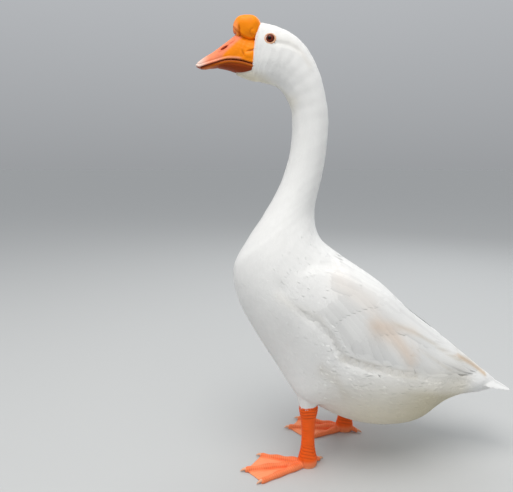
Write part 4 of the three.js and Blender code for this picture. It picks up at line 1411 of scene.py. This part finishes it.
def ridges(distance, pitch):
    """Rounded ridges with sharp valleys between, from -1 in a valley to 0 on a ridge."""
    return np.sqrt(np.abs(np.sin(np.pi * distance / pitch))) - 1


def leg_pattern(leg, points):
    """Depth in mm of the folds and scutes at each point: folds round the hock, scutes down the
    shank's front, cross scutes along each toe and fine pleats across the webs."""
    x, y, z = parted(points)
    _, leg_x, leg_y, _ = LEGS[leg]
    front = np.cos(np.arctan2(y - leg_y, leg_x - x))
    wavy = z + 1.2 * np.sin(0.5 * (y - leg_y)) + 0.8 * front
    hock = 1.3 * ridges(wavy, 5.2) * smooth(z, 86, 96)
    scutes = 0.32 * ridges(z + 1.5 * front + 0.9 * np.sin(0.31 * z), 5.4) * smooth(z, 36, 46)
    scutes = scutes * fade(z, 86, 96) * smooth(front, -0.2, 0.5)
    ankle = 0.9 * ridges(z - 2.2 * front + np.sin(0.6 * (y - leg_y)), 6.1)
    ankle = ankle * smooth(z, 14, 20) * fade(z, 36, 46)
    ahead, aside = along_toes(leg, points)
    on_toe = fade(z, 14, 20) * fade(aside, 0.8, 1.3) * smooth(z, 2.5, 4.5)
    toes = 0.6 * ridges(ahead + 0.8 * aside ** 2, 3.6) * on_toe
    spread = np.degrees(np.arctan2(y - leg_y, leg_x - x))
    far = np.hypot(x - leg_x, y - leg_y)
    pleats = 0.35 * ridges(spread + 2 * np.sin(0.13 * far), 3.1)
    pleats = pleats * fade(z, 3, 5) * smooth(aside, 1.1, 1.6)
    return hock + scutes + ankle + toes + pleats * smooth(z, 0.8, 1.6)


def leg_colour(leg, points):
    """Orange, with dark red painted shade down in the folds and scutes, and salmon on the webs."""
    z = points[:, 2]
    _, aside = along_toes(leg, points)
    webbed = fade(z, 3.5, 6) * smooth(aside, 0.9, 1.5)
    # Dark red painted shade by how deep a point lies in the folds and scutes.
    return layered(LEG_ORANGE, (WEB_SALMON, np.maximum(webbed, 0.6 * fade(z, 8, 16))),
                   (FOLD_SHADE_RED, np.clip(-0.8 * leg_pattern(leg, points), 0, 0.8)))


leg_material, leg_tree, leg_shader = new_material("leg_skin")
leg_place = noise_paint(leg_tree, leg_shader, 0.5, 90, 0.1)
set_inputs(leg_tree, leg_shader, {"Specular IOR Level": 0.2})
scales = add_node(leg_tree, "ShaderNodeTexVoronoi", {"Vector": leg_place, "Scale": 520})
add_bump(leg_tree, leg_shader, scales.outputs["Distance"], 0.6, 0.0004, invert=True)
claw_material = horn_material("claw_horn", 0.35, 0.1)

for leg in LEGS:
    parts = [shank(leg), web(leg), hind_toe(leg), *(toe(leg, *sizes) for sizes in TOES.values())]
    points, face_sets = joined(parts)
    flesh = add_piece(f"leg_{leg}", framed(points), face_sets, leg_material, "leg_skin")
    mesh, points = fused(flesh, voxel=0.0009, rounds=3)
    normal = np.zeros(points.size, np.float32)
    mesh.vertex_normals.foreach_get("vector", normal)
    place = (points - SHIFT) * 1000
    set_paint(mesh, leg_colour(leg, place))
    place = place + normal.reshape(-1, 3) * leg_pattern(leg, place)[:, None]
    place[:, 2] = np.maximum(place[:, 2], 0)
    mesh.vertices.foreach_set("co", framed(place).astype(np.float32).ravel())
    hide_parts(f"shank_{leg}", f"foot_{leg}")

    share = np.linspace(0, 1, 24)
    radius = CLAW_GIRTH * np.clip(1.02 - share, 0, 1) ** 0.6
    height = np.maximum(4.4 + 0.6 * np.sin(np.pi * share) - 2.6 * share ** 2, radius * 0.9)
    reach = (CLAW_LENGTH + 2) * share - 2
    points, face_sets = joined(finger(leg, spread, length + reach, height, radius)
                               for spread, length, _ in [*TOES.values(), HIND_TOE])
    claws = add_piece(f"claws_{leg}", framed(points), face_sets, claw_material, "claw",
                      paint=np.broadcast_to(CLAW_HORN, points.shape))
    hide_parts(*(f"claw_{leg}_{toe_name}" for toe_name in [*TOES, "hind"]))


# ---------------------------------------------------------------- setting
# A plain pale floor, a broad soft lamp above and in front, a weaker one behind, and the camera low
# on the bird's left side.

FLOOR_REACH = 60
SKY = (0.93, 0.96, 1, 1)

corners = [(x * FLOOR_REACH, y * FLOOR_REACH, 0) for x, y in ((-1, -1), (1, -1), (1, 1), (-1, 1))]
floor_mesh = bpy.data.meshes.new("floor")
floor_mesh.from_pydata(corners, [], [(0, 1, 2, 3)])
floor_material, floor_tree, floor_shader = new_material("floor_grey")
set_inputs(floor_tree, floor_shader, {"Base Color": (0.505, 0.51, 0.505, 1), "Roughness": 0.9})
floor_mesh.materials.append(floor_material)
add_object("floor", floor_mesh)

scene = bpy.context.scene
scene.view_settings.view_transform = "Standard"
scene.world = bpy.data.worlds.new("sky")
scene.world.use_nodes = True
sky = scene.world.node_tree
direction = add_node(sky, "ShaderNodeTexCoord").outputs["Generated"]
height = add_node(sky, "ShaderNodeSeparateXYZ", {"Vector": direction}).outputs["Z"]
brightness = add_node(sky, "ShaderNodeMapRange", {
    "Value": height, "From Min": 0, "From Max": 0.8, "To Min": 0.356, "To Max": 0.74})
set_inputs(sky, sky.nodes["Background"], {"Color": SKY, "Strength": brightness.outputs["Result"]})


def add_light(name, place, target, size, power, color):
    data = bpy.data.lights.new(name, "AREA")
    data.shape = "DISK"
    data.size, data.energy, data.color = size, power, color
    lamp = add_object(name, data)
    lamp.location = place
    lamp.rotation_euler = (Vector(target) - Vector(place)).to_track_quat("-Z", "Y").to_euler()


add_light("sky_light", (-0.4, -0.8, 2.6), (0, 0, 0.3), 2.2, 50, (1, 0.98, 0.95))
add_light("back_light", (0.9, 1.6, 1.8), (0, 0, 0.4), 1.5, 12, (0.95, 0.98, 1))

camera_data = bpy.data.cameras.new("camera")
camera_data.lens, camera_data.sensor_width = 35, 36
camera = add_object("camera", camera_data)
camera.location = (SHIFT[0] - 0.182, SHIFT[1] - 0.86, 0.52)
camera.rotation_euler = (np.radians(90 - 9.2), 0, 0)
scene.camera = camera
